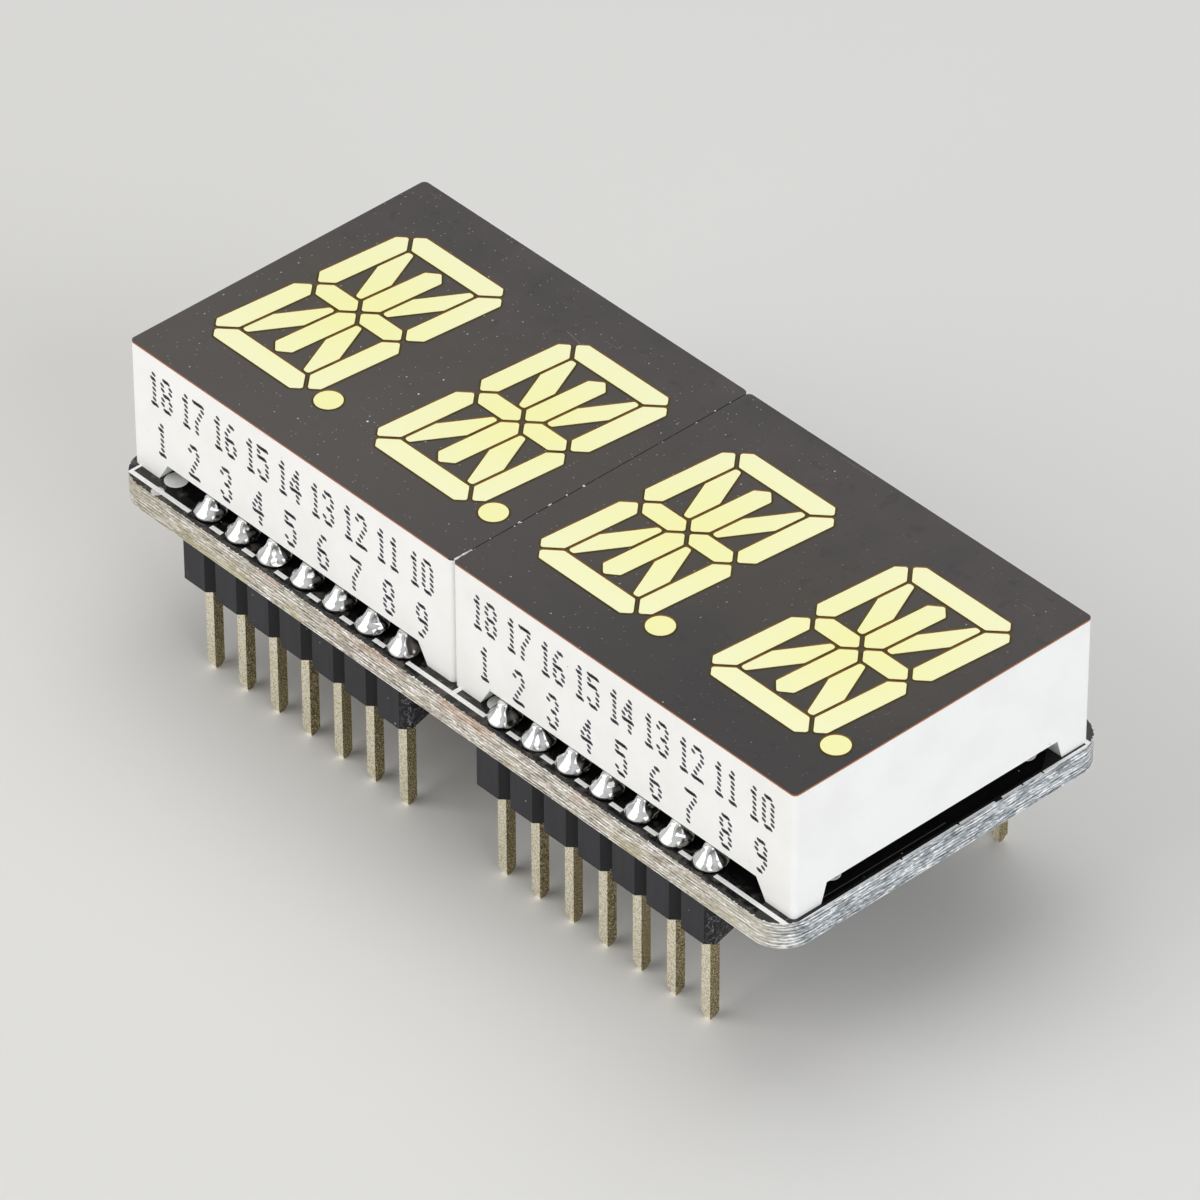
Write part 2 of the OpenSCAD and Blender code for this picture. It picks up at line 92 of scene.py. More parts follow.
def add_node(tree, kind, inputs=None, **settings):
    """Adds a shader node. Its inputs are values or sockets, by the socket's name or number."""
    made = tree.nodes.new(kind)
    for name, value in settings.items():
        setattr(made, name, value)
    for key, value in (inputs or {}).items():
        if isinstance(value, bpy.types.NodeSocket):
            tree.links.new(value, made.inputs[key])
        else:
            made.inputs[key].default_value = value
    return made


def calculate(tree, operation, first, second=0.0):
    return add_node(tree, "ShaderNodeMath", {0: first, 1: second}, operation=operation).outputs[0]


def mix_colours(tree, amount, under, over):
    mix = add_node(tree, "ShaderNodeMix", {0: amount, 6: under, 7: over}, data_type="RGBA")
    return mix.outputs[2]


def new_finish(name, colour, roughness, **values):
    """A material whose plain values sit on its shader. Gives the material, its tree, its
    shader and the object coordinates."""
    material = bpy.data.materials.new(name)
    material.use_nodes = True
    tree = material.node_tree
    shader = tree.nodes["Principled BSDF"]
    shader.inputs["Base Color"].default_value = tone(colour)
    shader.inputs["Roughness"].default_value = roughness
    for key, value in values.items():
        shader.inputs[key.replace("_", " ").title().replace("Ior", "IOR")].default_value = value
    return material, tree, shader, add_node(tree, "ShaderNodeTexCoord").outputs["Object"]


def lamp(name, side, distance, size, power, colour):
    """A square soft lamp that points at the middle of the module."""
    place = camera_aim + Vector(side).normalized() * distance
    bpy.ops.object.light_add(type="AREA", location=place)
    made = bpy.context.object
    made.name = name
    made.rotation_euler = (place - camera_aim).to_track_quat("Z", "Y").to_euler()
    made.data.size = size
    made.data.energy = power
    made.data.color = tone(colour)[:3]


lamp("front_lamp", (-0.45, -1.0, 0.5), 0.55, 0.55, 1.95, "fffcf8")
lamp("end_lamp", (1.0, -0.05, 0.4), 0.55, 0.45, 1.65, "f8faff")
lamp("top_lamp", (-0.25, 0.35, 1.0), 0.6, 0.6, 1.25, "ffffff")

bpy.ops.mesh.primitive_plane_add(size=floor_size, location=(0, 0, 0))
floor = bpy.context.object
floor.name = "floor"
floor_finish, tree, shader, place = new_finish("pale table top", floor_colour, 0.7)
floor_grain = add_node(tree, "ShaderNodeTexNoise", {"Vector": place, "Scale": 900.0, "Detail": 3.0})
floor_bump = add_node(tree, "ShaderNodeBump", {"Height": floor_grain.outputs[0], "Strength": 0.15,
                                               "Distance": 0.05 * mm})
tree.links.new(floor_bump.outputs[0], shader.inputs["Normal"])
floor.data.materials.append(floor_finish)

world = bpy.data.worlds.new("studio")
bpy.context.scene.world = world
world.use_nodes = True
tree = world.node_tree
ray = add_node(tree, "ShaderNodeLightPath").outputs
seen = calculate(tree, "MAXIMUM", ray["Is Camera Ray"], ray["Is Glossy Ray"])
seen = calculate(tree, "MAXIMUM", seen, ray["Is Transmission Ray"])
strength = add_node(tree, "ShaderNodeMapRange", {0: seen, 3: world_light, 4: world_shown})
background = tree.nodes["Background"]
background.inputs["Color"].default_value = tone(world_colour)
tree.links.new(strength.outputs[0], background.inputs["Strength"])


# ==== Circuit board ====
# A glass-fibre laminate 1.6 mm thick, coated on both faces with glossy black solder mask. Its
# routed edge is bare and shows the layers of woven glass. All the other parts are fixed to it.

mask_colour = "0e0e0f"
board_corner_r = 1.9 * mm
glass_layer = 0.2 * mm  # thickness of one layer of glass cloth
# Patterns of the glass, which runs along the board's edge: stretch, scale and share
CLOTH = [((0.07, 0.07, 1.0), 11500.0, 0.4), ((0.2, 0.2, 1.0), 17000.0, 0.4), ((0.35, 0.35, 1.0), 3000.0, 0.2)]
chipped_rim = 0.05 * mm  # width of the bare rim where the routed mask has chipped
copper_end = 24.78 * mm  # where the copper under the mask ends, which shows as a faint line
copper_line_end = 0.5 * mm  # the line shows from the front edge as far back as here
flux_reach = -9.9 * mm  # dried flux lies on the front of the board as far back as here


def start_effect(name, inputs, output):
    """A node group for an effect that several finishes share. Gives the group's tree, its input
    sockets and its output node. Each input is a name and a plain value, or None for a vector."""
    tree = bpy.data.node_groups.new(name, "ShaderNodeTree")
    for label, value in inputs.items():
        kind = "NodeSocketVector" if value is None else "NodeSocketFloat"
        socket = tree.interface.new_socket(label, in_out="INPUT", socket_type=kind)
        if value is not None:
            socket.default_value = value
    tree.interface.new_socket(output, in_out="OUTPUT", socket_type="NodeSocketFloat")
    return tree, tree.nodes.new("NodeGroupInput").outputs, tree.nodes.new("NodeGroupOutput")


def product(tree, *amounts):
    """All the amounts multiplied together."""
    result = amounts[0]
    for amount in amounts[1:]:
        result = calculate(tree, "MULTIPLY", result, amount)
    return result


def apart(tree, first, second):
    """How far apart two amounts are."""
    return calculate(tree, "ABSOLUTE", calculate(tree, "SUBTRACT", first, second))


def diagonal(tree, across, along):
    """The straight distance of a step across and a step along."""
    return calculate(tree, "SQRT", calculate(tree, "ADD", calculate(tree, "POWER", across, 2.0),
                                             calculate(tree, "POWER", along, 2.0)))


# Dust: a few cells of a fine flat cell pattern hold one small speck each.
dust, given, result = start_effect("dust", {"Place": None, "Scale": 2000.0, "Share": 0.05, "Size": 0.2},
                                   "Mask")
cells = add_node(dust, "ShaderNodeTexVoronoi", {"Vector": given["Place"], "Scale": given["Scale"]},
                 voronoi_dimensions="2D")
cell_draw = add_node(dust, "ShaderNodeSeparateColor", {0: cells.outputs["Color"]}).outputs
speck_size = product(dust, given["Size"], cell_draw[1])
in_speck = calculate(dust, "LESS_THAN", cells.outputs["Distance"], speck_size)
chosen = calculate(dust, "LESS_THAN", cell_draw[0], given["Share"])
dust.links.new(product(dust, in_speck, chosen), result.inputs["Mask"])

# Grain: the fine unevenness of a moulded, cast or plated surface.
grain, given, result = start_effect("grain", {"Place": None, "Scale": 4000.0, "Detail": 3.0}, "Height")
grain_noise = add_node(grain, "ShaderNodeTexNoise", {"Vector": given["Place"], "Scale": given["Scale"],
                                                     "Detail": given["Detail"]})
grain.links.new(grain_noise.outputs[0], result.inputs["Height"])

# Strands: noise drawn out along the lengths that Stretch gives.
strands, given, result = start_effect("strands", {"Place": None, "Stretch": None, "Scale": 1000.0}, "Amount")
drawn_out = add_node(strands, "ShaderNodeVectorMath", {0: given["Place"], 1: given["Stretch"]},
                     operation="MULTIPLY")
strand_noise = add_node(strands, "ShaderNodeTexNoise", {"Vector": drawn_out.outputs[0],
                                                        "Scale": given["Scale"], "Detail": 2.0})
strands.links.new(strand_noise.outputs[0], result.inputs["Amount"])


def effect(tree, group, **inputs):
    """Places a shared effect in a material and gives its output."""
    return add_node(tree, "ShaderNodeGroup", {key.title(): value for key, value in inputs.items()},
                    node_tree=group).outputs[0]


def grade(tree, amount, stops):
    """Colours along a scale from 0 to 1, each stop a position and a colour code."""
    ramp = add_node(tree, "ShaderNodeValToRGB", {0: amount})
    points = ramp.color_ramp.elements
    while len(points) < len(stops):
        points.new(0.5)
    for point, (position, code) in zip(points, stops):
        point.position = position
        point.color = tone(code)
    return ramp.outputs[0]


def paint(tree, shader, colour):
    tree.links.new(colour, shader.inputs["Base Color"])


def roughen(tree, shader, amount, low, high):
    """Roughness that changes over the surface between two values."""
    spread = add_node(tree, "ShaderNodeMapRange", {0: amount, 3: low, 4: high})
    tree.links.new(spread.outputs[0], shader.inputs["Roughness"])


def emboss(tree, shader, height, depth, strength=1.0):
    bump = add_node(tree, "ShaderNodeBump", {"Height": height, "Distance": depth, "Strength": strength})
    tree.links.new(bump.outputs[0], shader.inputs["Normal"])


def dress(material, *names):
    """Gives CAD nodes their finish."""
    for name in names:
        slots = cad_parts[name].data.materials
        slots.clear()
        slots.append(material)


def clamp_range(tree, amount, low, high, first=0.0, last=1.0):
    """Maps an amount from one range to another, without going past its ends."""
    return add_node(tree, "ShaderNodeMapRange", {0: amount, 1: low, 2: high, 3: first, 4: last}).outputs[0]


def split(tree, vector):
    return add_node(tree, "ShaderNodeSeparateXYZ", {0: vector}).outputs


def surface_normal(tree):
    return split(tree, add_node(tree, "ShaderNodeNewGeometry").outputs["Normal"])


board_low, board_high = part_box("circuit_board")
board_finish, tree, shader, place = new_finish("solder mask on glass laminate", mask_colour, 0.1,
                                               specular_ior_level=0.4)
facing = surface_normal(tree)
point = split(tree, place)

# The laminate: rows of short glass strands, painted lighter and warmer along the front and darker and
# cooler at the ends, as painted light and shade. Bits of the copper and the resin tint it in patches.
row_phase = product(tree, point[2], 2 * math.pi / glass_layer)
weave = product(tree, calculate(tree, "SINE", row_phase), 0.045)
for stretch, scale, share in CLOTH:
    cloth = effect(tree, strands, place=place, stretch=stretch, scale=scale)
    weave = calculate(tree, "ADD", weave, product(tree, cloth, share))
# Lit and shaded copies of the laminate: painted light on the front, painted shade on the ends.
lit_front_laminate = grade(tree, weave, [(0.38, "5c564b"), (0.46, "a29a8d"), (0.53, "cac4b7"), (0.6, "ffffff")])
shaded_end_laminate = grade(tree, weave, [(0.38, "474c4f"), (0.46, "868c90"), (0.53, "b4babe"), (0.6, "ffffff")])
to_end = calculate(tree, "POWER", calculate(tree, "ABSOLUTE", facing[0]), 2.0)
to_front = calculate(tree, "SUBTRACT", 1.0, to_end)
laminate = mix_colours(tree, to_end, lit_front_laminate, shaded_end_laminate)
tint_patch = effect(tree, grain, place=place, scale=300.0, detail=2.0)
height_in_edge = clamp_range(tree, point[2], board_low.z, board_high.z)
copper_tint = product(tree, clamp_range(tree, tint_patch, 0.52, 0.66, 0.0, 0.36),
                      clamp_range(tree, height_in_edge, 0.4, 0.75),
                      clamp_range(tree, point[0], 22 * mm, 17 * mm), to_front)
resin_tint = product(tree, clamp_range(tree, tint_patch, 0.5, 0.34, 0.0, 0.55),
                     clamp_range(tree, height_in_edge, 0.6, 0.1), to_front)
left_tint = clamp_range(tree, point[0], -14 * mm, -25 * mm, 0.0, 0.35)
right_tint = product(tree, clamp_range(tree, point[0], 17 * mm, 23 * mm, 0.0, 0.35), to_front)
for tint, code in ((copper_tint, "c08c68"), (resin_tint, "b0a878"), (left_tint, "9d9c82"),
                   (right_tint, "d2d1c4")):
    laminate = mix_colours(tree, tint, laminate, tone(code))

# The mask: chipped along the board's outline, with a little dust, dried flux along the front
# and the faint line where the copper below it ends.
past_round = []  # how far past the middle of a corner's round, along X and along Y
for axis in (0, 1):
    past = calculate(tree, "SUBTRACT", calculate(tree, "ABSOLUTE", point[axis]),
                     board_high[axis] - board_corner_r)
    past_round.append(calculate(tree, "MAXIMUM", past, 0.0))
from_outline = calculate(tree, "SUBTRACT", board_corner_r, diagonal(tree, *past_round))
chips = clamp_range(tree, effect(tree, grain, place=place, scale=7000.0), 0.45, 0.7, 0.0, 2 * chipped_rim)
on_edge = calculate(tree, "MAXIMUM", calculate(tree, "LESS_THAN", from_outline, chips),
                    calculate(tree, "LESS_THAN", calculate(tree, "ABSOLUTE", facing[2]), 0.5))
mask_dust = effect(tree, dust, place=place, scale=1600.0, share=0.06, size=0.09)
off_copper = apart(tree, point[0], copper_end)
copper_line = product(tree, clamp_range(tree, off_copper, 0.025 * mm, 0.012 * mm, 0.0, 0.5),
                      calculate(tree, "LESS_THAN", point[1], copper_line_end))
flux_noise = effect(tree, grain, place=place, scale=1500.0, detail=8.0)
flux_film = product(tree, clamp_range(tree, flux_noise, 0.5, 0.64, 0.0, 0.55),
                    clamp_range(tree, point[1], flux_reach, flux_reach - 0.5 * mm))
mask_face = tone(mask_colour)
for cover, code in ((mask_dust, "c9c6c0"), (copper_line, "8a8683"), (flux_film, "5f5954")):
    mask_face = mix_colours(tree, cover, mask_face, tone(code))
paint(tree, shader, mix_colours(tree, on_edge, mask_face, laminate))
roughen(tree, shader, calculate(tree, "MAXIMUM", on_edge, flux_film), 0.09, 0.6)
mask_ripple = effect(tree, grain, place=place, scale=500.0)
edge_relief = product(tree, weave, on_edge, 8.0)
emboss(tree, shader, calculate(tree, "ADD", mask_ripple, edge_relief), 0.006 * mm)
dress(board_finish, "circuit_board")


# ==== Print on the board ====
# White ink, screen printed a little askew on the solder mask: an outline round each display
# that stops at the solder joints, a dot at each display's first pin and two rings at the right.

ink_t = 0.02 * mm
outline_w = 0.28 * mm
outline_end_w = 0.17 * mm
outline_left = -24.7 * mm
outline_right = 25.43 * mm  # the end of the line that runs along the board's right-hand edge
outline_middle = 0.46 * mm  # the line between the two displays
outline_front = -10.835 * mm
outline_back = 9.97 * mm
ink_clear = 0.84 * mm  # the outline keeps this far from the middle of a joint
print_turn = math.radians(0.29)
first_pin_dot_r = 0.65 * mm
first_pin_dot_at = -9.85 * mm  # from the middle of a display
first_pin_dot_y = -9.6 * mm
ring_r = 0.45 * mm
ring_w = 0.17 * mm
RINGS = [(23.69, -6.55), (23.74, 7.05)]  # their middles, in millimetres
RUBBED = [(-3.26, -3.14), (0.7, 0.82), (3.3, 3.8), (5.2, 5.3), (6.62, 6.72)]  # bare gaps, in mm
ink_z = board_high.z + ink_t / 2
print_margin = 0.005 * mm  # the ink is trimmed this far inside the board's outline
trims_a_corner = 9
speck = 0.001 * mm  # points nearer than this count as one
test_pad_r = 0.36 * mm
test_pad_t = 0.016 * mm
test_pad_at = (-22.3 * mm, -11.04 * mm, board_high.z + 0.004 * mm)


def begin_piece(name):
    """Starts an empty piece in edit mode, with its object at the origin."""
    bpy.ops.object.select_all(action="DESELECT")
    bpy.ops.mesh.primitive_plane_add(location=(0, 0, 0))
    piece = bpy.context.object
    piece.name = name
    piece.data.name = name
    bpy.ops.object.mode_set(mode="EDIT")
    bpy.ops.mesh.delete(type="VERT")
    return piece


def end_piece(piece, material):
    """Leaves edit mode and gives the piece its finish, slot and body."""
    if bpy.context.mode != "OBJECT":
        bpy.ops.object.mode_set(mode="OBJECT")
    piece.data.materials.append(material)
    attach(piece, "root")


def soften(piece, width, segments=1):
    """Bevels a piece's edges."""
    if bpy.context.mode != "OBJECT":
        bpy.ops.object.mode_set(mode="OBJECT")
    bevel = piece.modifiers.new("soft edges", "BEVEL")
    bevel.width = width
    bevel.segments = segments
    bevel.limit_method = "ANGLE"
    bevel.angle_limit = math.radians(40)
    bpy.context.view_layer.objects.active = piece
    bpy.ops.object.modifier_apply(modifier=bevel.name)


def ink_line(x0, x1, y0, y1):
    """A flat bar of ink between two corners, added to the piece in edit mode."""
    bpy.ops.mesh.primitive_cube_add(size=1, location=((x0 + x1) / 2, (y0 + y1) / 2, ink_z),
                                    scale=(abs(x1 - x0), abs(y1 - y0), ink_t))


def joint_middles(node, count):
    """The places along X of the joints in a row."""
    low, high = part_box(node)
    end = (high.y - low.y) / 2  # a joint is as wide as it is deep
    span = (high.x - end) - (low.x + end)
    return [low.x + end + span * i / (count - 1) for i in range(count)]


def broken_line(y, joints):
    """A line of the outline along X that leaves out the places of the joints."""
    stops = sorted(joints)
    starts = [outline_left] + [x + ink_clear for x in stops]
    ends = [x - ink_clear for x in stops] + [outline_right]
    for start, end in zip(starts, ends):
        ink_line(start, end, y - outline_w / 2, y + outline_w / 2)


def fine_finish(name, colour, roughness, scale, stops, relief=0.0, rough=None, stretch=None, **values):
    """A finish whose colour, relief and roughness all follow one fine pattern, which is drawn
    out where a stretch is given."""
    finish, tree, shader, place = new_finish(name, colour, roughness, **values)
    if stretch:
        pattern = effect(tree, strands, place=place, stretch=stretch, scale=scale)
    else:
        pattern = effect(tree, grain, place=place, scale=scale)
    paint(tree, shader, grade(tree, pattern, stops))
    if rough:
        roughen(tree, shader, pattern, *rough)
    if relief:
        emboss(tree, shader, pattern, relief)
    return finish


pale_ink = fine_finish("white screen ink", "fbfbf9", 0.5, 9000.0, [(0.3, "efefec"), (0.6, "fcfcfa")],
                       0.01 * mm)

board_print = begin_piece("board_print")
front_joints = joint_middles("front_left_joints", 7) + joint_middles("front_right_joints", 7)
back_joints = joint_middles("back_left_joints", 3) + joint_middles("back_right_joints", 7)
broken_line(outline_front, front_joints)
broken_line(outline_back, back_joints)
inner_front = outline_front + outline_w / 2
inner_back = outline_back - outline_w / 2
ink_line(outline_left, outline_left + outline_end_w, inner_front, inner_back)
ink_line(outline_middle - outline_w / 2, outline_middle + outline_w / 2, inner_front, inner_back)
line_start = inner_front
for gap_start, gap_end in RUBBED:
    ink_line(outline_right - outline_end_w, outline_right, line_start, gap_start * mm)
    line_start = gap_end * mm
ink_line(outline_right - outline_end_w, outline_right, line_start, inner_back)
for display in ("left", "right"):
    low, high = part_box(display + "_reflector")
    bpy.ops.mesh.primitive_cylinder_add(
        vertices=40, radius=first_pin_dot_r, depth=ink_t,
        location=((low.x + high.x) / 2 + first_pin_dot_at, first_pin_dot_y, ink_z))
for ring_x, ring_y in RINGS:
    bpy.ops.mesh.primitive_torus_add(major_radius=ring_r, minor_radius=ring_w / 2, minor_segments=8,
                                     location=(ring_x * mm, ring_y * mm, board_high.z))
    bpy.ops.transform.resize(value=(1, 1, 0.2), center_override=(0, 0, board_high.z))
bpy.ops.mesh.select_all(action="SELECT")
bpy.ops.transform.rotate(value=-print_turn, orient_axis="Z", center_override=(0, 0, 0))
for side_x, side_y in ((-1, -1), (1, -1), (1, 1), (-1, 1)):
    middle = Vector((side_x * (board_high.x - board_corner_r), side_y * (board_high.y - board_corner_r), 0))
    for trim in range(trims_a_corner):
        angle = math.radians(90 * trim / (trims_a_corner - 1))
        away = Vector((side_x * math.cos(angle), side_y * math.sin(angle), 0))
        bpy.ops.mesh.select_all(action="SELECT")
        bpy.ops.mesh.bisect(plane_co=middle + away * (board_corner_r - print_margin), plane_no=away,
                            use_fill=True, clear_outer=True, threshold=speck)
soften(board_print, 0.006 * mm)
end_piece(board_print, pale_ink)

# A small tinned test pad lies under the outline, near the front left corner.
pad_finish = fine_finish("tinned pad", "b9b8b4", 0.5, 7000.0, [(0.3, "b5b4b0"), (0.7, "dcdbd7")],
                         0.01 * mm, metallic=0.2)
test_pad = begin_piece("test_pad")
bpy.ops.mesh.primitive_cylinder_add(vertices=32, radius=test_pad_r, depth=test_pad_t, location=test_pad_at)
soften(test_pad, 0.005 * mm)
end_piece(test_pad, pad_finish)


# ==== Header strips ====
# Glass-filled black nylon, moulded in long strips and snapped off to length. Each cell holds
# one pin, and V notches between the cells mark where the strip breaks.

break_rough = 0.5 * mm  # how far from a snapped end the surface is torn


def on_wall(tree, point):
    """Coordinates that lie flat on the upright sides, for patterns that only read X and Y."""
    along = calculate(tree, "ADD", point[0], point[1])
    return add_node(tree, "ShaderNodeCombineXYZ", {0: along, 1: point[2]}).outputs[0]


strip_finish, tree, shader, place = new_finish("black nylon", "1d1d20", 0.42, specular_ior_level=0.35)
facing = surface_normal(tree)
point = split(tree, place)
flow = effect(tree, strands, place=place, stretch=(1.0, 1.0, 0.12), scale=3200.0)
strip_colour = grade(tree, flow, [(0.35, "17171c"), (0.65, "23232a")])
# Walls turned along X, in the V notches and at the snapped ends, are painted near black: painted shade.
x_wall_shade = clamp_range(tree, calculate(tree, "ABSOLUTE", facing[0]), 0.5, 0.75)
strip_colour = mix_colours(tree, x_wall_shade, strip_colour, tone("0a0a0b"))
strip_dust = effect(tree, dust, place=on_wall(tree, point), scale=1900.0, share=0.05, size=0.1)
strip_colour = mix_colours(tree, strip_dust, strip_colour, tone("a8a6a8"))
near_break = 0.0
for name, end in (("front_left_strip", 1), ("front_right_strip", 1), ("back_right_strip", 1),
                  ("back_left_strip", 0)):
    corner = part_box(name)[end]
    near = clamp_range(tree, apart(tree, point[0], corner.x), break_rough, 0.2 * break_rough)
    same_row = calculate(tree, "GREATER_THAN", product(tree, point[1], corner.y), 0.0)
    near_break = calculate(tree, "MAXIMUM", near_break, product(tree, near, same_row))
torn = effect(tree, grain, place=place, scale=3200.0, detail=8.0)
torn_pale = clamp_range(tree, apart(tree, torn, 0.55), 0.024, 0.01, 0.0, 0.8)
strip_colour = mix_colours(tree, product(tree, near_break, torn_pale), strip_colour, tone("8d8d97"))
paint(tree, shader, strip_colour)
roughen(tree, shader, flow, 0.36, 0.52)
strip_height = calculate(tree, "ADD", effect(tree, grain, place=place, scale=7000.0),
                         product(tree, torn, near_break, 14.0))
emboss(tree, shader, strip_height, 0.008 * mm)
dress(strip_finish, "front_left_strip", "front_right_strip", "back_left_strip", "back_right_strip")


# ==== Header pins ====
# Square brass wire with a thin gilt plating, cut and pressed to a taper at both ends. The
# plating is fine-grained, so the pins look sandy. Their sides to the right are painted darker: painted shade.

pin_finish, tree, shader, place = new_finish("gilt plating", "d9cdaa", 0.34, metallic=1.0)
plating = effect(tree, grain, place=place, scale=14000.0, detail=3.0)
drawn = effect(tree, strands, place=place, stretch=(1.0, 1.0, 0.1), scale=6000.0)
# Lit and shaded copies of the plating: painted light on the front faces, painted shade on the sides to the
# right.
lit_pin_face = grade(tree, plating, [(0.34, "bcab80"), (0.46, "efe4c0"), (0.58, "fffdf4")])
shaded_pin_side = grade(tree, plating, [(0.38, "6c5e3e"), (0.5, "978760"), (0.64, "e6dab4")])
to_end = clamp_range(tree, surface_normal(tree)[0], 0.4, 0.8)
paint(tree, shader, mix_colours(tree, to_end, lit_pin_face, shaded_pin_side))
roughen(tree, shader, drawn, 0.26, 0.42)
emboss(tree, shader, plating, 0.024 * mm)
dress(pin_finish, "front_left_pins", "front_right_pins", "back_left_pins", "back_right_pins")


# ==== Header solder ====
# Tin solder, hand fed round the top of each header pin, so no two joints are alike. Each bulges
# at its foot, draws in to a neck that climbs the pin, and leaves a little brown flux round it.

joint_sides = 16
joint_foot_r = 0.93 * mm
joint_turn = 0.35  # each joint is turned at random by up to this angle
# Radius as a share of the foot's, and height in mm, of each ring from the foot up
JOINT_RINGS = [(1.05, 0.08), (1.06, 0.19), (1.0, 0.32), (0.88, 0.44), (0.74, 0.56), (0.62, 0.68),
               (0.52, 0.82), (0.45, 0.97), (0.4, 1.1), (0.3, 1.15), (0.12, 1.17)]
crease_low = 0.08 * mm  # a crease runs from this height
crease_high = 0.85 * mm  # up to this one


def solder_joint(name, foot_r, rings, fineness, lean, oval, creases):
    """A joint on the origin, raised ring by ring. Its neck moves by lean for each mm of height,
    its foot is oval times as wide as a round one, and each crease is an angle round it and the
    share of its reach that is left there, or more than 1 for a ridge."""
    joint = begin_piece(name)
    bpy.ops.mesh.select_mode(type="FACE")
    bpy.ops.mesh.primitive_circle_add(vertices=joint_sides, radius=foot_r, fill_type="NGON",
                                      location=(0, 0, 0))
    bpy.ops.transform.resize(value=(oval, 1 / oval, 1), center_override=(0, 0, 0))
    share, height = 1.0, 0.0
    middle = Vector((0, 0, 0))
    for next_share, next_height in rings:
        step = Vector((lean[0], lean[1], 0)) * (next_height - height)
        step.z = (next_height - height) * mm
        bpy.ops.mesh.extrude_region_move(TRANSFORM_OT_translate={"value": step})
        middle += step
        size = next_share / share
        bpy.ops.transform.resize(value=(size, size, 1), center_override=middle)
        share, height = next_share, next_height
    for angle, pull in creases:
        bpy.ops.mesh.select_all(action="DESELECT")
        bpy.ops.mesh.select_mode(type="VERT")
        bpy.ops.object.mode_set(mode="OBJECT")
        for vertex in joint.data.vertices:
            turn = math.atan2(vertex.co.y, vertex.co.x) - math.radians(angle)
            turn = abs(math.atan2(math.sin(turn), math.cos(turn)))
            vertex.select = turn < math.pi / joint_sides and crease_low < vertex.co.z < crease_high
        bpy.ops.object.mode_set(mode="EDIT")
        bpy.ops.transform.resize(value=(pull, pull, 1), center_override=(0, 0, 0))
    bpy.ops.mesh.select_mode(type="FACE")
    bpy.ops.mesh.select_all(action="SELECT")
    bpy.ops.mesh.normals_make_consistent(inside=False)
    bpy.ops.mesh.faces_shade_smooth()
    bpy.ops.object.mode_set(mode="OBJECT")
    rounding = joint.modifiers.new("rounding", "SUBSURF")
    rounding.levels = fineness
    rounding.render_levels = fineness
    bpy.ops.object.modifier_apply(modifier=rounding.name)
    return joint


def gather(copies, name):
    """Joins copies into one piece."""
    bpy.ops.object.select_all(action="DESELECT")
    for copy in copies:
        copy.select_set(True)
    bpy.context.view_layer.objects.active = copies[0]
    bpy.ops.object.join()
    piece = bpy.context.object
    piece.name = name
    piece.data.name = name
    return piece


def copy_at(model, place):
    """A copy of a model with a mesh of its own, put in its place by a matrix."""
    copy = bpy.data.objects.new(model.name + "_copy", model.data.copy())
    bpy.context.scene.collection.objects.link(copy)
    copy.data.transform(place)
    return copy


solder_finish, tree, shader, place = new_finish("tin solder", "dededc", 0.14, metallic=1.0)
ripple = effect(tree, grain, place=place, scale=1500.0, detail=1.0)
above_board = split(tree, place)[2]
flux = clamp_range(tree, above_board, board_high.z, board_high.z + 0.2 * mm, 1.0, 0.0)
flux = product(tree, flux, clamp_range(tree, ripple, 0.4, 0.6, 0.15, 0.85))
solder_colour = grade(tree, ripple, [(0.35, "c6c6c6"), (0.6, "e2e2e0")])
# The side of each joint that faces right is painted dark brown: a painted dark reflection.
to_right = calculate(tree, "ADD", surface_normal(tree)[0], product(tree, ripple, 0.3))
painted_dark_side = clamp_range(tree, to_right, 0.75, 0.95, 0.0, 0.75)
solder_colour = mix_colours(tree, painted_dark_side, solder_colour, tone("3b332a"))
solder_colour = mix_colours(tree, flux, solder_colour, tone("7a6238"))
paint(tree, shader, solder_colour)
roughen(tree, shader, ripple, 0.06, 0.13)
emboss(tree, shader, ripple, 0.004 * mm)

joint_models = []
for name, lean, oval, creases in (
    ("plump_joint", (0.0, 0.04 * mm), 1.03, [(-80, 0.94), (0, 0.84), (36, 1.08)]),
    ("creased_joint", (-0.05 * mm, 0.02 * mm), 0.96, [(-20, 0.78), (18, 1.08), (-100, 0.95), (150, 0.93)]),
    ("slim_joint", (0.04 * mm, 0.06 * mm), 1.0, [(-8, 0.86), (30, 1.05), (-125, 0.93)]),
):
    joint_models.append(solder_joint(name, joint_foot_r, JOINT_RINGS, 2, lean, oval, creases))
random.seed(3)
for row, count in (("front_left", 7), ("front_right", 7), ("back_left", 3), ("back_right", 7)):
    low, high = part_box(row + "_joints")
    row_y = (low.y + high.y) / 2
    copies = []
    for x in joint_middles(row + "_joints", count):
        turn = Matrix.Rotation(random.uniform(-joint_turn, joint_turn), 4, "Z")
        size = Matrix.Diagonal((random.uniform(0.96, 1.02), random.uniform(0.96, 1.02),
                                random.uniform(0.96, 1.01), 1))
        spot = Matrix.Translation((x, row_y, board_high.z))
        copies.append(copy_at(random.choice(joint_models), spot @ turn @ size))
    joints = gather(copies, row + "_solder")
    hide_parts(row + "_joints")
    end_piece(joints, solder_finish)
for model in joint_models:
    bpy.data.objects.remove(model)
dress(solder_finish, "front_left_joints", "front_right_joints", "back_left_joints", "back_right_joints")


# ==== Display housings ====
# Each display is one white moulding, filled with titanium dioxide so that its wells throw the
# light forward. It stands on four short splayed feet.

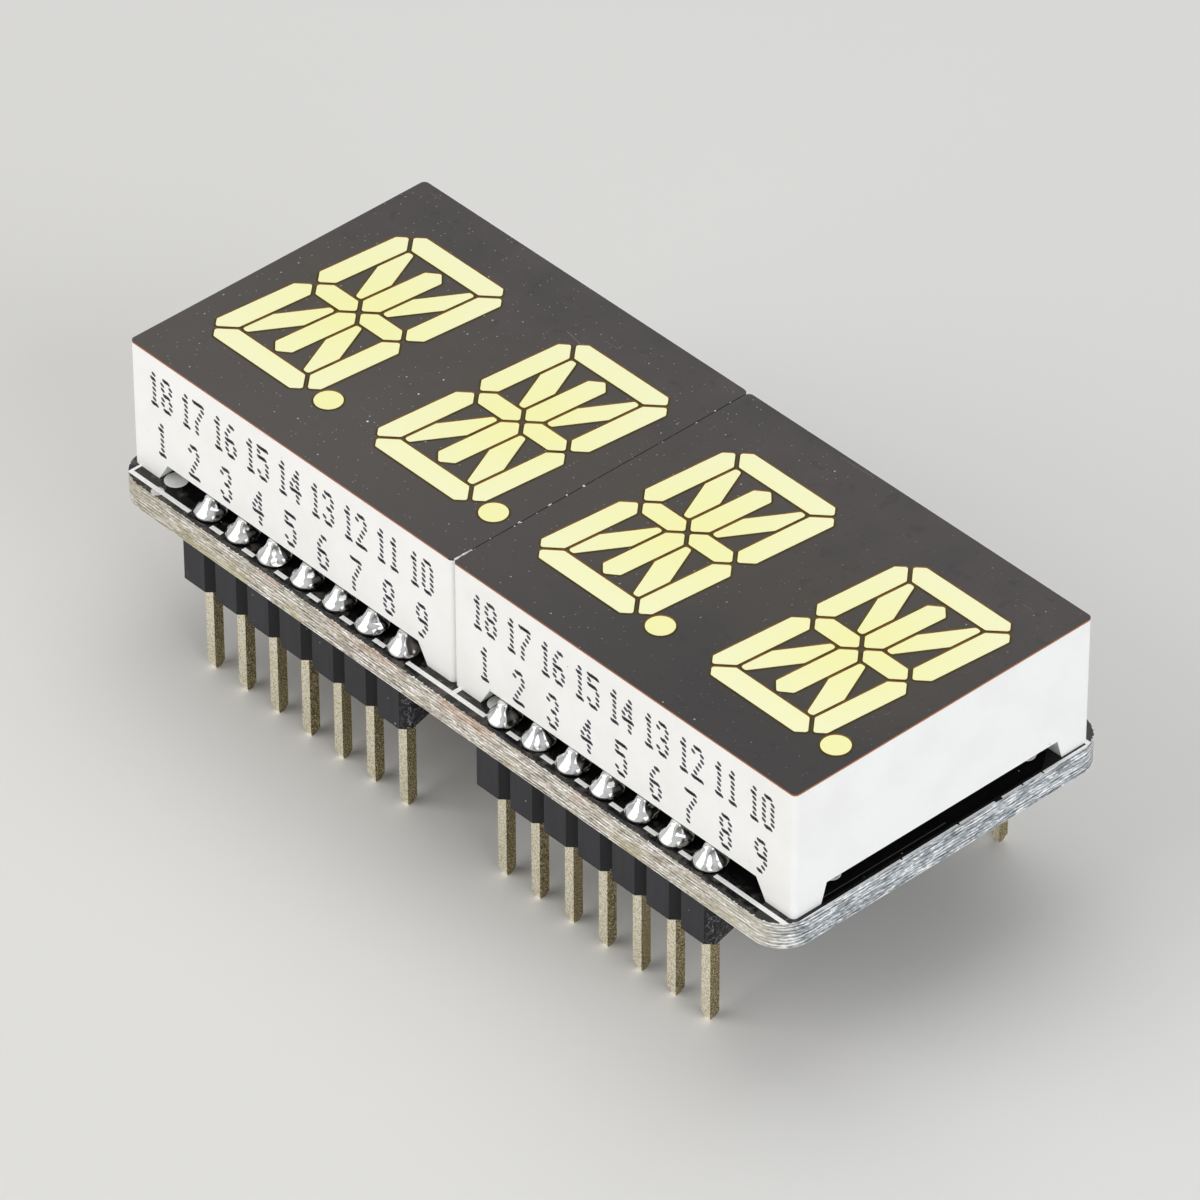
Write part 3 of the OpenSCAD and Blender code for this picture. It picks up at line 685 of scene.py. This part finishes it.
housing_finish, tree, shader, place = new_finish("white moulded nylon", "f7f7f5", 0.36)
shader.inputs["Subsurface Weight"].default_value = 0.1
shader.inputs["Subsurface Radius"].default_value = (0.3, 0.28, 0.25)
shader.inputs["Subsurface Scale"].default_value = 0.6 * mm
cloud = effect(tree, grain, place=place, scale=350.0)
housing_colour = grade(tree, cloud, [(0.3, "f3f3f0"), (0.6, "f8f8f6")])
housing_wall = on_wall(tree, split(tree, place))
housing_dirt = effect(tree, dust, place=housing_wall, scale=1200.0, share=0.03, size=0.07)
housing_colour = mix_colours(tree, housing_dirt, housing_colour, tone("c4c1ba"))
paint(tree, shader, housing_colour)
roughen(tree, shader, cloud, 0.3, 0.42)
emboss(tree, shader, effect(tree, grain, place=place, scale=5000.0), 0.004 * mm)
dress(housing_finish, "left_reflector", "right_reflector")


# ==== Display faces ====
# The top of each moulding is coated with a thin satin layer, dark warm grey, which leaves the
# bars open. Its cut edge shows brown, and it picks up fine dust, smudges and hair scratches.

display_middle = 12.55 * mm  # from the seam to the middle of a display
character_shift = 0.155 * mm  # the characters stand this far to the right of that middle
character_off = 6.335 * mm  # from there to the middle of a character
nick_end = -8.9 * mm  # the coat is chipped along the seam as far as here
nick_least = 0.025 * mm  # how wide the chips are on each side of the seam
nick_most = 0.06 * mm
seam_dirt_w = 0.07 * mm  # pale points of dirt lie this near to the seam
seam_reach = 0.3 * mm  # where the coats of the two displays meet, their cut edges stay dark
scratch_turn = 0.47  # the scratches run at this angle to the seam
SPECKS = [(3400.0, 0.16, 0.15, "827e7c"), (1700.0, 0.06, 0.09, "a9a6a4"), (520.0, 0.07, 0.032, "eeece8")]

# Scratches: thin broken lines along the contours of a drawn-out noise.
scratches, given, result = start_effect("scratches", {"Place": None, "Scale": 500.0, "Width": 0.004}, "Mask")
turned = add_node(scratches, "ShaderNodeMapping", {
    "Vector": given["Place"], "Rotation": (0, 0, scratch_turn), "Scale": (0.05, 1.0, 1.0)})
contour = add_node(scratches, "ShaderNodeTexNoise", {"Vector": turned.outputs[0], "Scale": given["Scale"],
                                                     "Detail": 0.0}).outputs[0]
on_line = calculate(scratches, "LESS_THAN", apart(scratches, contour, 0.5), given["Width"])
broken = add_node(scratches, "ShaderNodeTexNoise", {"Vector": given["Place"], "Scale": 240.0}).outputs[0]
broken = calculate(scratches, "GREATER_THAN", broken, 0.66)
scratches.links.new(product(scratches, on_line, broken), result.inputs["Mask"])

face_finish, tree, shader, place = new_finish("dark face coat", "2e2b2c", 0.42, specular_ior_level=0.4)
point = split(tree, place)
from_seam = calculate(tree, "ABSOLUTE", point[0])
haze = effect(tree, grain, place=place, scale=330.0, detail=5.0)
coat = grade(tree, haze, [(0.32, "302a2a"), (0.5, "37312f"), (0.68, "3f3837")])
smudge = clamp_range(tree, effect(tree, grain, place=place, scale=1100.0, detail=1.0), 0.36, 0.3, 0.0, 0.5)
coat = mix_colours(tree, smudge, coat, tone("1f1d1e"))

# The coat is painted lighter at the front left and darker at the front right, as painted light and shade, and
# it is greener in the characters.
to_right = clamp_range(tree, point[0], -10 * mm, 16 * mm)
to_front = clamp_range(tree, point[1], 8 * mm, -6 * mm, 0.0, 0.7)
coat = mix_colours(tree, to_front, coat, mix_colours(tree, to_right, tone("453f3b"), tone("0b0602")))
off_middle = apart(tree, calculate(tree, "ABSOLUTE", calculate(tree, "SUBTRACT", point[0], character_shift)),
                   display_middle)
off_letter = diagonal(tree, calculate(tree, "SUBTRACT", off_middle, character_off), point[1])
in_letter = clamp_range(tree, off_letter, 8.0 * mm, 4.0 * mm, 0.0, 0.45)
coat = mix_colours(tree, in_letter, coat, tone("3c3526"))

# Dust, which the right-hand display has less of, and scratches.
for speck_scale, speck_share, speck_size, speck_tone in SPECKS:
    specks = effect(tree, dust, place=place, scale=speck_scale, share=speck_share, size=speck_size)
    specks = product(tree, specks, clamp_range(tree, to_right, 0.5, 0.9, 1.0, 0.4))
    coat = mix_colours(tree, specks, coat, tone(speck_tone))
scratch = effect(tree, scratches, place=place, scale=420.0, width=0.0011)
coat = mix_colours(tree, scratch, coat, tone("858180"))

# The cut edge, and the chips and dirt along the seam.
cut_edge = product(tree, calculate(tree, "LESS_THAN", surface_normal(tree)[2], 0.5),
                   calculate(tree, "GREATER_THAN", from_seam, seam_reach))
coat = mix_colours(tree, cut_edge, coat, tone("a8622e"))
nick_noise = effect(tree, grain, place=place, scale=2600.0)
nick_w = clamp_range(tree, nick_noise, 0.35, 0.65, nick_least, nick_most)
nick = product(tree, calculate(tree, "LESS_THAN", from_seam, nick_w),
               calculate(tree, "LESS_THAN", point[1], nick_end))
seam_dirt = product(tree, calculate(tree, "LESS_THAN", from_seam, seam_dirt_w),
                    calculate(tree, "GREATER_THAN", nick_noise, 0.66))
coat = mix_colours(tree, calculate(tree, "MAXIMUM", nick, seam_dirt), coat, tone("fbfaf6"))
paint(tree, shader, coat)
roughen(tree, shader, haze, 0.36, 0.48)
emboss(tree, shader, effect(tree, grain, place=place, scale=6000.0), 0.006 * mm)
dress(face_finish, "left_face", "right_face")


# ==== Light bars ====
# Pale yellow epoxy, cast into the wells of the housing over the lamps. The short bars near the
# middle of a character and its point look deeper in colour than the long outer bars.

character_reach = 8.0 * mm  # from the middle of a character to its corners
point_beside = 3.7 * mm  # the points lie further than this to the right of a character's middle
point_front = -5.2 * mm  # and further forward than this


def bar_finish(name, centre_x):
    """Cast resin, for the two characters of the display whose middle is at centre_x."""
    finish, tree, shader, place = new_finish(name, "fbfab0", 0.34)
    point = split(tree, place)
    across = calculate(tree, "SUBTRACT", point[0], centre_x)
    along = calculate(tree, "SUBTRACT", calculate(tree, "ABSOLUTE", across), character_off)
    beside = product(tree, along, calculate(tree, "SIGN", across))
    in_point = product(tree, calculate(tree, "GREATER_THAN", beside, point_beside),
                       calculate(tree, "LESS_THAN", point[1], point_front))
    reach = calculate(tree, "DIVIDE", diagonal(tree, along, point[1]), character_reach)
    mottle = effect(tree, grain, place=place, scale=1400.0)
    spread = calculate(tree, "ADD", reach, product(tree, mottle, 0.25))
    spread = calculate(tree, "SUBTRACT", spread, in_point)
    resin = grade(tree, spread, [(0.3, "fffdb4"), (0.75, "fffec4"), (1.0, "ffffcc")])
    resin = mix_colours(tree, effect(tree, dust, place=place, scale=900.0, share=0.03, size=0.06),
                        resin, tone("fdfdf2"))
    paint(tree, shader, resin)
    roughen(tree, shader, mottle, 0.26, 0.38)
    emboss(tree, shader, effect(tree, grain, place=place, scale=5200.0), 0.003 * mm)
    return finish


for display in ("left", "right"):
    low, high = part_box(display + "_reflector")
    middle = (low.x + high.x) / 2 + character_shift
    dress(bar_finish(display + " cast resin", middle), display + "_light_bars")


# ==== Rims of the light bars ====
# The face coat ends in a thin lip round every bar and point. The lip is dark olive, and its
# sides that lean to the front and the right are painted orange-brown: a painted highlight.

rim_w = 0.1 * mm
rim_t = 0.008 * mm
rim_lift = 0.004 * mm  # the lip's inner edge over the face coat
rim_rise = 0.013 * mm  # how much higher its outer edge is

rim_finish, tree, shader, place = new_finish("thin face coat", "4a3d1c", 0.6, specular_ior_level=0.05)
facing = surface_normal(tree)
to_light = calculate(tree, "SUBTRACT", product(tree, facing[0], 0.74), product(tree, facing[1], 0.67))
rim_shift = effect(tree, grain, place=place, scale=900.0)
olive = grade(tree, rim_shift, [(0.35, "4b3e17"), (0.6, "59491d")])
rim_painted_highlight = grade(tree, rim_shift, [(0.35, "704c1f"), (0.6, "92642c")])
# Sides that lean to the light get the painted orange-brown highlight.
paint(tree, shader, mix_colours(tree, clamp_range(tree, to_light, 0.02, 0.12), olive, rim_painted_highlight))
emboss(tree, shader, effect(tree, grain, place=place, scale=8000.0), 0.004 * mm)


def select_faces(piece, wanted):
    """Selects the faces of the piece in edit mode that the test picks."""
    bpy.ops.object.mode_set(mode="OBJECT")
    for face in piece.data.polygons:
        face.select = wanted(face)
    bpy.ops.object.mode_set(mode="EDIT")


def spot_key(point):
    """The place of a point seen from above, for telling whether two points are the same."""
    return (round(point.x / speck), round(point.y / speck))


for display in ("left", "right"):
    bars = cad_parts[display + "_light_bars"]
    bar_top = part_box(bars.name)[1].z
    face_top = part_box(display + "_face")[1].z
    rims = begin_piece(display + "_bar_rims")
    bpy.ops.object.mode_set(mode="OBJECT")
    rims.data = bars.data.copy()
    rims.data.name = rims.name
    rims.data.materials.clear()
    bpy.ops.object.mode_set(mode="EDIT")
    bpy.ops.mesh.select_mode(type="FACE")
    bpy.ops.mesh.select_all(action="SELECT")
    bpy.ops.mesh.customdata_custom_splitnormals_clear()
    bpy.ops.mesh.remove_doubles(threshold=speck)
    select_faces(rims, lambda face: face.center.z < bar_top - speck)
    bpy.ops.mesh.delete(type="FACE")
    bpy.ops.mesh.select_all(action="SELECT")
    bpy.ops.mesh.dissolve_limited(angle_limit=math.radians(1))
    bpy.ops.object.mode_set(mode="OBJECT")
    inner_spots = {spot_key(vertex.co) for vertex in rims.data.vertices}
    bpy.ops.object.mode_set(mode="EDIT")
    bpy.ops.mesh.select_all(action="SELECT")
    drop = face_top + rim_lift - bar_top
    bpy.ops.transform.translate(value=(0, 0, drop))
    bpy.ops.mesh.extrude_region_move(TRANSFORM_OT_translate={"value": (0, 0, -rim_t)})
    bpy.ops.mesh.select_all(action="SELECT")
    bpy.ops.mesh.normals_make_consistent(inside=False)
    select_faces(rims, lambda face: abs(face.normal.z) > 0.5)
    bpy.ops.mesh.delete(type="ONLY_FACE")
    bpy.ops.mesh.select_all(action="SELECT")
    bpy.ops.mesh.duplicate()
    bpy.ops.mesh.extrude_region_shrink_fatten(
        TRANSFORM_OT_shrink_fatten={"value": rim_w, "use_even_offset": True})
    bpy.ops.mesh.select_all(action="SELECT")
    bpy.ops.mesh.remove_doubles(threshold=speck)
    bpy.ops.object.mode_set(mode="OBJECT")
    for part in (rims.data.polygons, rims.data.edges):
        part.foreach_set("select", [False] * len(part))
    for vertex in rims.data.vertices:
        vertex.select = spot_key(vertex.co) not in inner_spots
    bpy.ops.object.mode_set(mode="EDIT")
    bpy.ops.mesh.select_mode(type="VERT")
    bpy.ops.transform.translate(value=(0, 0, rim_rise))
    bpy.ops.mesh.select_mode(type="FACE")
    bpy.ops.mesh.select_all(action="SELECT")
    bpy.ops.mesh.normals_make_consistent(inside=False)
    end_piece(rims, rim_finish)


# ==== Print on the sides of the displays ====
# Purple-grey dots of an ink jet on the front of each housing. Two lines of plain numbers count
# the display's pins: the back row above, from 18 to 10, and the front row below, from 1 to 9.

dot_step_x = 0.155 * mm
dot_step_z = 0.32 * mm
dot_size = (0.17 * mm, 0.1 * mm)  # half its length and half its height
dot_t = 0.012 * mm
dot_lean = math.radians(30)
dot_waver = (0.015, 0.012)  # how far in mm a dot may miss its place, along X and up
digit_pitch = 0.98 * mm
upper_line_z = 17.0 * mm  # top dots of the numbers
lower_line_z = 13.9 * mm
pin_step = 2.54 * mm
DIGITS = {
    "0": ".###. #...# #...# #...# #...# #...# .###.",
    "1": "..#.. .##.. ..#.. ..#.. ..#.. ..#.. .###.",
    "2": ".###. #...# ....# ...#. ..#.. .#... #####",
    "3": ".###. #...# ....# ..##. ....# #...# .###.",
    "4": "...#. ..##. .#.#. #..#. ##### ...#. ...#.",
    "5": "##### #.... ####. ....# ....# #...# .###.",
    "6": "..##. .#... #.... ####. #...# #...# .###.",
    "7": "##### ....# ...#. ..#.. .#... .#... .#...",
    "8": ".###. #...# #...# .###. #...# #...# .###.",
    "9": ".###. #...# #...# .#### ....# ...#. .##..",
}

dot_ink = fine_finish("purple-grey jet ink", "2e2738", 0.5, 6000.0, [(0.3, "241f2e"), (0.7, "463e50")],
                      0.004 * mm)

one_dot = begin_piece("one_dot")
bpy.ops.mesh.primitive_cylinder_add(vertices=10, radius=dot_size[1], depth=dot_t, location=(0, 0, 0),
                                    rotation=(math.pi / 2, 0, 0))
bpy.ops.transform.resize(value=(dot_size[0] / dot_size[1], 1, 1), center_override=(0, 0, 0))
bpy.ops.transform.rotate(value=-dot_lean, orient_axis="Y", center_override=(0, 0, 0))
bpy.ops.object.mode_set(mode="OBJECT")


def number_dots(number, middle_x, top_z):
    """The places of the dots of a number whose middle is at middle_x."""
    spots = []
    for order, digit in enumerate(str(number)):
        start_x = middle_x + (order - (len(str(number)) - 1) / 2) * digit_pitch - 2 * dot_step_x
        for row, marks in enumerate(DIGITS[digit].split()):
            for column, mark in enumerate(marks):
                if mark == "#":
                    spots.append((start_x + column * dot_step_x, top_z - row * dot_step_z))
    return spots


random.seed(14)
for display in ("left", "right"):
    low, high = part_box(display + "_reflector")
    middle = (low.x + high.x) / 2
    spots = []
    for pin in range(1, 10):
        pin_x = middle + (pin - 5) * pin_step
        spots += number_dots(19 - pin, pin_x, upper_line_z)
        spots += number_dots(pin, pin_x, lower_line_z)
    copies = []
    for x, z in spots:
        waver = Vector((random.uniform(-dot_waver[0], dot_waver[0]), 0,
                        random.uniform(-dot_waver[1], dot_waver[1]))) * mm
        copies.append(copy_at(one_dot, Matrix.Translation(Vector((x, low.y, z)) + waver)))
    end_piece(gather(copies, display + "_side_print"), dot_ink)
bpy.data.objects.remove(one_dot)


# ==== Inside the displays ====
# A small board closes each housing from below and carries one lamp under each bar. Grey potting
# seals it in and holds the round pins, which pass through the circuit board.

lamp_board_finish = fine_finish("plain laminate", "b9a878", 0.5, 1800.0, [(0.35, "a8976a"), (0.65, "cbbc8e")],
                                0.01 * mm, stretch=(1.0, 4.0, 1.0))
dress(lamp_board_finish, "left_lamp_board", "right_lamp_board")

led_finish = fine_finish("lamp crystal", "d8d47a", 0.2, 9000.0, [(0.3, "c9c46a"), (0.7, "e6e29a")])
dress(led_finish, "left_led_chips", "right_led_chips")

potting_finish = fine_finish("grey potting resin", "8e8d88", 0.25, 260.0, [(0.3, "7e7d79"), (0.7, "a2a19b")],
                             0.08 * mm, (0.15, 0.35))
dress(potting_finish, "left_potting", "right_potting")

tinned_finish = fine_finish("tin plating", "c9c9c8", 0.3, 5000.0, [(0.3, "a9a9a8"), (0.7, "dcdcda")],
                            0.005 * mm, (0.22, 0.38), (1.0, 1.0, 0.2), metallic=1.0)
dress(tinned_finish, "left_display_pins", "right_display_pins", "driver_leads", "resistor_ends",
      "capacitor_ends", "jumper_pads")


# ==== Solder of the display pins ====
# Tin solder again, wave soldered under the board, so these joints are low, smooth and nearly
# alike. The tip of each round pin stands out of its joint.

tail_foot_r = 0.8 * mm
# Radius as a share of the foot's, and height in mm, of each ring from the foot up
TAIL_RINGS = [(1.0, 0.05), (0.99, 0.13), (0.84, 0.25), (0.62, 0.37), (0.47, 0.5), (0.39, 0.65),
              (0.35, 0.8), (0.3, 0.88), (0.15, 0.9)]

tail_finish, tree, shader, place = new_finish("wave solder", "d4d4d2", 0.2, metallic=1.0)
tail_ripple = effect(tree, grain, place=place, scale=1500.0, detail=1.0)
below_board = split(tree, place)[2]
tail_flux = clamp_range(tree, below_board, board_low.z, board_low.z - 0.1 * mm, 0.8, 0.0)
tail_colour = grade(tree, tail_ripple, [(0.35, "bcbcbc"), (0.6, "dcdcda")])
paint(tree, shader, mix_colours(tree, tail_flux, tail_colour, tone("7a6238")))
roughen(tree, shader, tail_ripple, 0.12, 0.24)
emboss(tree, shader, tail_ripple, 0.004 * mm)

tail_joint = solder_joint("tail_joint", tail_foot_r, TAIL_RINGS, 1, (0.0, 0.0), 1.0, [])
random.seed(8)
for display in ("left", "right"):
    low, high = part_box(display + "_tail_joints")
    copies = []
    for row_y in (low.y + tail_foot_r, high.y - tail_foot_r):
        for pin in range(9):
            spot = Matrix.Translation((low.x + tail_foot_r + pin * pin_step, row_y, board_low.z))
            turn = Matrix.Rotation(random.uniform(0, 3), 4, "Z") @ Matrix.Rotation(math.pi, 4, "X")
            size = Matrix.Diagonal((random.uniform(0.94, 1.0), random.uniform(0.94, 1.0),
                                    random.uniform(0.85, 1.0), 1))
            copies.append(copy_at(tail_joint, spot @ turn @ size))
    tails = gather(copies, display + "_tail_solder")
    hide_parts(display + "_tail_joints")
    end_piece(tails, tail_finish)
bpy.data.objects.remove(tail_joint)
dress(tail_finish, "left_tail_joints", "right_tail_joints")


# ==== Driver chip and small parts ====
# On the underside a moulded driver chip feeds the lamps, with three thick-film resistors and
# two ceramic capacitors beside it. All are soldered flat on the board.

chip_finish = fine_finish("black epoxy", "222224", 0.62, 5200.0, [(0.3, "1c1c1e"), (0.7, "2f2f32")],
                          0.015 * mm, (0.5, 0.72))
dress(chip_finish, "driver_chip", "resistor_bodies")

capacitor_finish = fine_finish("fired tan ceramic", "a98863", 0.45, 3600.0, [(0.3, "97774f"), (0.7, "bb9b76")],
                               0.006 * mm)
dress(capacitor_finish, "capacitor_bodies")


# ==== Solder of the chip and small parts ====
# Reflowed tin paste on square pads: a low mound that hugs each lead of the chip, and a fillet
# that climbs each metal end of the resistors and capacitors.

lead_pitch = 1.27 * mm
leads_a_side = 14
lead_foot = 0.33 * mm  # from the tip of a lead to the middle of its foot
part_length = 2.0 * mm  # the same for the resistors and the capacitors
pad_t = 0.04 * mm
lead_pad = (0.58 * mm, 1.4 * mm)  # width and depth
end_pad = (1.36 * mm, 0.84 * mm)
end_clear = 0.04 * mm  # from the end of a part to the middle of its pad
RESISTORS = [(13, -3.2), (13, 0), (13, 3.2)]  # their middles, in millimetres
CAPACITORS = [(17.5, -2), (17.5, 2)]


def solder_mound(name, pad, steps):
    """Solder on a pad round the origin. Each step up has a rise and a lean along Y, in mm, and
    the shares of the width and depth that it keeps."""
    mound = begin_piece(name)
    bpy.ops.mesh.select_mode(type="FACE")
    bpy.ops.mesh.primitive_cube_add(size=1, location=(0, 0, pad_t / 2), scale=(*pad, pad_t))
    select_faces(mound, lambda face: face.normal.z > 0.9)
    middle = Vector((0, 0, pad_t))
    for rise, lean, keep_width, keep_depth in steps:
        step = Vector((0, lean, rise)) * mm
        bpy.ops.mesh.extrude_region_move(TRANSFORM_OT_translate={"value": step})
        middle += step
        bpy.ops.transform.resize(value=(keep_width, keep_depth, 1), center_override=middle)
    soften(mound, 0.02 * mm, 2)
    return mound


def under_board(x, y, toward):
    """The matrix that hangs a model under the board with its +Y turned to the side toward."""
    turn = Matrix.Rotation(math.pi, 4, "X") @ Matrix.Rotation(0 if toward < 0 else math.pi, 4, "Z")
    return Matrix.Translation((x, y, board_low.z)) @ turn


lead_mound = solder_mound("lead_mound", lead_pad,
                          [(0.05, 0.02, 0.86, 0.88), (0.05, 0.02, 0.84, 0.86), (0.05, 0.01, 0.84, 0.9)])
lead_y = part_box("driver_leads")[1].y - lead_foot
copies = []
for side in (-1, 1):
    for lead in range(leads_a_side):
        lead_x = (lead - (leads_a_side - 1) / 2) * lead_pitch
        copies.append(copy_at(lead_mound, under_board(lead_x, side * lead_y, side)))
end_piece(gather(copies, "lead_solder"), tail_finish)
bpy.data.objects.remove(lead_mound)

low_fillet = solder_mound("low_fillet", end_pad,
                          [(0.08, 0.08, 0.95, 0.72), (0.1, 0.06, 0.95, 0.7), (0.14, 0.05, 0.95, 0.65)])
tall_fillet = solder_mound("tall_fillet", end_pad,
                           [(0.14, 0.09, 0.95, 0.72), (0.2, 0.07, 0.95, 0.68), (0.26, 0.05, 0.95, 0.6)])
for piece_name, model, spots in (("resistor_solder", low_fillet, RESISTORS),
                                 ("capacitor_solder", tall_fillet, CAPACITORS)):
    copies = []
    for x, y in spots:
        for side in (-1, 1):
            end_y = y * mm + side * (part_length / 2 + end_clear)
            copies.append(copy_at(model, under_board(x * mm, end_y, side)))
    end_piece(gather(copies, piece_name), tail_finish)
    bpy.data.objects.remove(model)


# ==== Tracks and print under the board ====
# Copper tracks fan out under the solder mask from the chip's leads to the display pins. White
# ink frames the small parts and marks the chip's ends and its first lead.

track_w = 0.09 * mm
track_t = 0.018 * mm
track_z = board_low.z - track_t / 2
via_r = 0.28 * mm
under_ink_z = board_low.z - ink_t / 2
frame_w = 0.15 * mm
# In millimetres from the board's middle lines: where the tracks leave the leads, where they
# reach the pins, the outermost pin, the run along X nearest the chip, the step to the next run
# and how far a track cuts a corner
track_start, track_end, outer_pin, first_run, run_step, bend = 5.5, 7.2, 17.63, 5.82, 0.14, 0.1
chip_end = 9.35
PAD_PAIRS = [-13, -16, -19]
lead_dot_r = 0.28 * mm
lead_dot_at = (-9.2 * mm, 4.9 * mm, under_ink_z)
VIAS = [(10.7, -4.1), (10.7, -0.9), (10.7, 2.3), (15.2, -2.3), (15.2, 0.9), (15.2, 4.1), (15.8, -0.9),
        (20.3, 3.0), (20.3, -3.0), (-11.0, 0.7), (-11.0, -0.7), (-21.2, 0.7), (-21.2, -0.7)]
SHORT_TRACKS = [
    [(12.5, -4.1), (10.7, -4.1)], [(12.5, -0.9), (10.7, -0.9)], [(12.5, 2.3), (10.7, 2.3)],
    [(13.5, -2.3), (15.2, -2.3)], [(13.5, 0.9), (15.2, 0.9)], [(13.5, 4.1), (15.2, 4.1)],
    [(17.0, -1.0), (15.9, -1.0)], [(18.0, 3.0), (20.3, 3.0)], [(18.0, -3.0), (20.3, -3.0)],
    [(-12.6, 0.7), (-11.0, 0.7)], [(-12.6, -0.7), (-11.0, -0.7)], [(-19.4, 0.7), (-21.2, 0.7)],
    [(-19.4, -0.7), (-21.2, -0.7)], [(-15.6, 0.7), (-13.4, 0.7)], [(-18.6, -0.7), (-16.4, -0.7)],
]


def track(points):
    """Straight lengths of covered copper from point to point, in millimetres."""
    for (x0, y0), (x1, y1) in zip(points, points[1:]):
        length = math.hypot(x1 - x0, y1 - y0) * mm + track_w
        bpy.ops.mesh.primitive_cube_add(
            size=1, location=((x0 + x1) / 2 * mm, (y0 + y1) / 2 * mm, track_z),
            scale=(length, track_w, track_t), rotation=(0, 0, math.atan2(y1 - y0, x1 - x0)))


covered_finish = fine_finish("solder mask over copper", "131314", 0.12, 500.0,
                             [(0.3, "111112"), (0.7, "18181a")], 0.006 * mm, specular_ior_level=0.4)

tracks = begin_piece("board_tracks")
for side_x in (-1, 1):
    for side_y in (-1, 1):
        for lead in range(leads_a_side // 2):
            lead_x = (leads_a_side / 2 - 0.5 - lead) * lead_pitch / mm
            pin_x = outer_pin - lead * pin_step / mm
            run_y = first_run + lead * run_step
            path = [(lead_x, track_start), (lead_x, run_y - bend), (lead_x + bend, run_y),
                    (pin_x - bend, run_y), (pin_x, run_y + bend), (pin_x, track_end)]
            track([(side_x * x, side_y * y) for x, y in path])
for points in SHORT_TRACKS:
    track(points)
for x, y in VIAS:
    bpy.ops.mesh.primitive_cylinder_add(vertices=20, radius=via_r, depth=track_t * 1.2,
                                        location=(x * mm, y * mm, track_z))
soften(tracks, 0.004 * mm)
end_piece(tracks, covered_finish)


def ink_frame(x, y, width, depth):
    """A printed frame round a part on the underside, in millimetres."""
    for x0, x1, y0, y1 in (
        (x - width / 2, x + width / 2, y + depth / 2, y + depth / 2),
        (x - width / 2, x + width / 2, y - depth / 2, y - depth / 2),
        (x - width / 2, x - width / 2, y - depth / 2, y + depth / 2),
        (x + width / 2, x + width / 2, y - depth / 2, y + depth / 2),
    ):
        bpy.ops.mesh.primitive_cube_add(
            size=1, location=((x0 + x1) / 2 * mm, (y0 + y1) / 2 * mm, under_ink_z),
            scale=((x1 - x0) * mm + frame_w, (y1 - y0) * mm + frame_w, ink_t))


under_print = begin_piece("under_print")
for x, y in RESISTORS:
    ink_frame(x, y, 1.9, 2.96)
for x, y in CAPACITORS:
    ink_frame(x, y, 1.9, 3.2)
for x in PAD_PAIRS:
    ink_frame(x, 0, 1.6, 3.0)
for side in (-1, 1):
    ink_frame(side * chip_end, 0, 0, 7.0)
bpy.ops.mesh.primitive_cylinder_add(vertices=24, radius=lead_dot_r, depth=ink_t, location=lead_dot_at)
soften(under_print, 0.006 * mm)
end_piece(under_print, pale_ink)
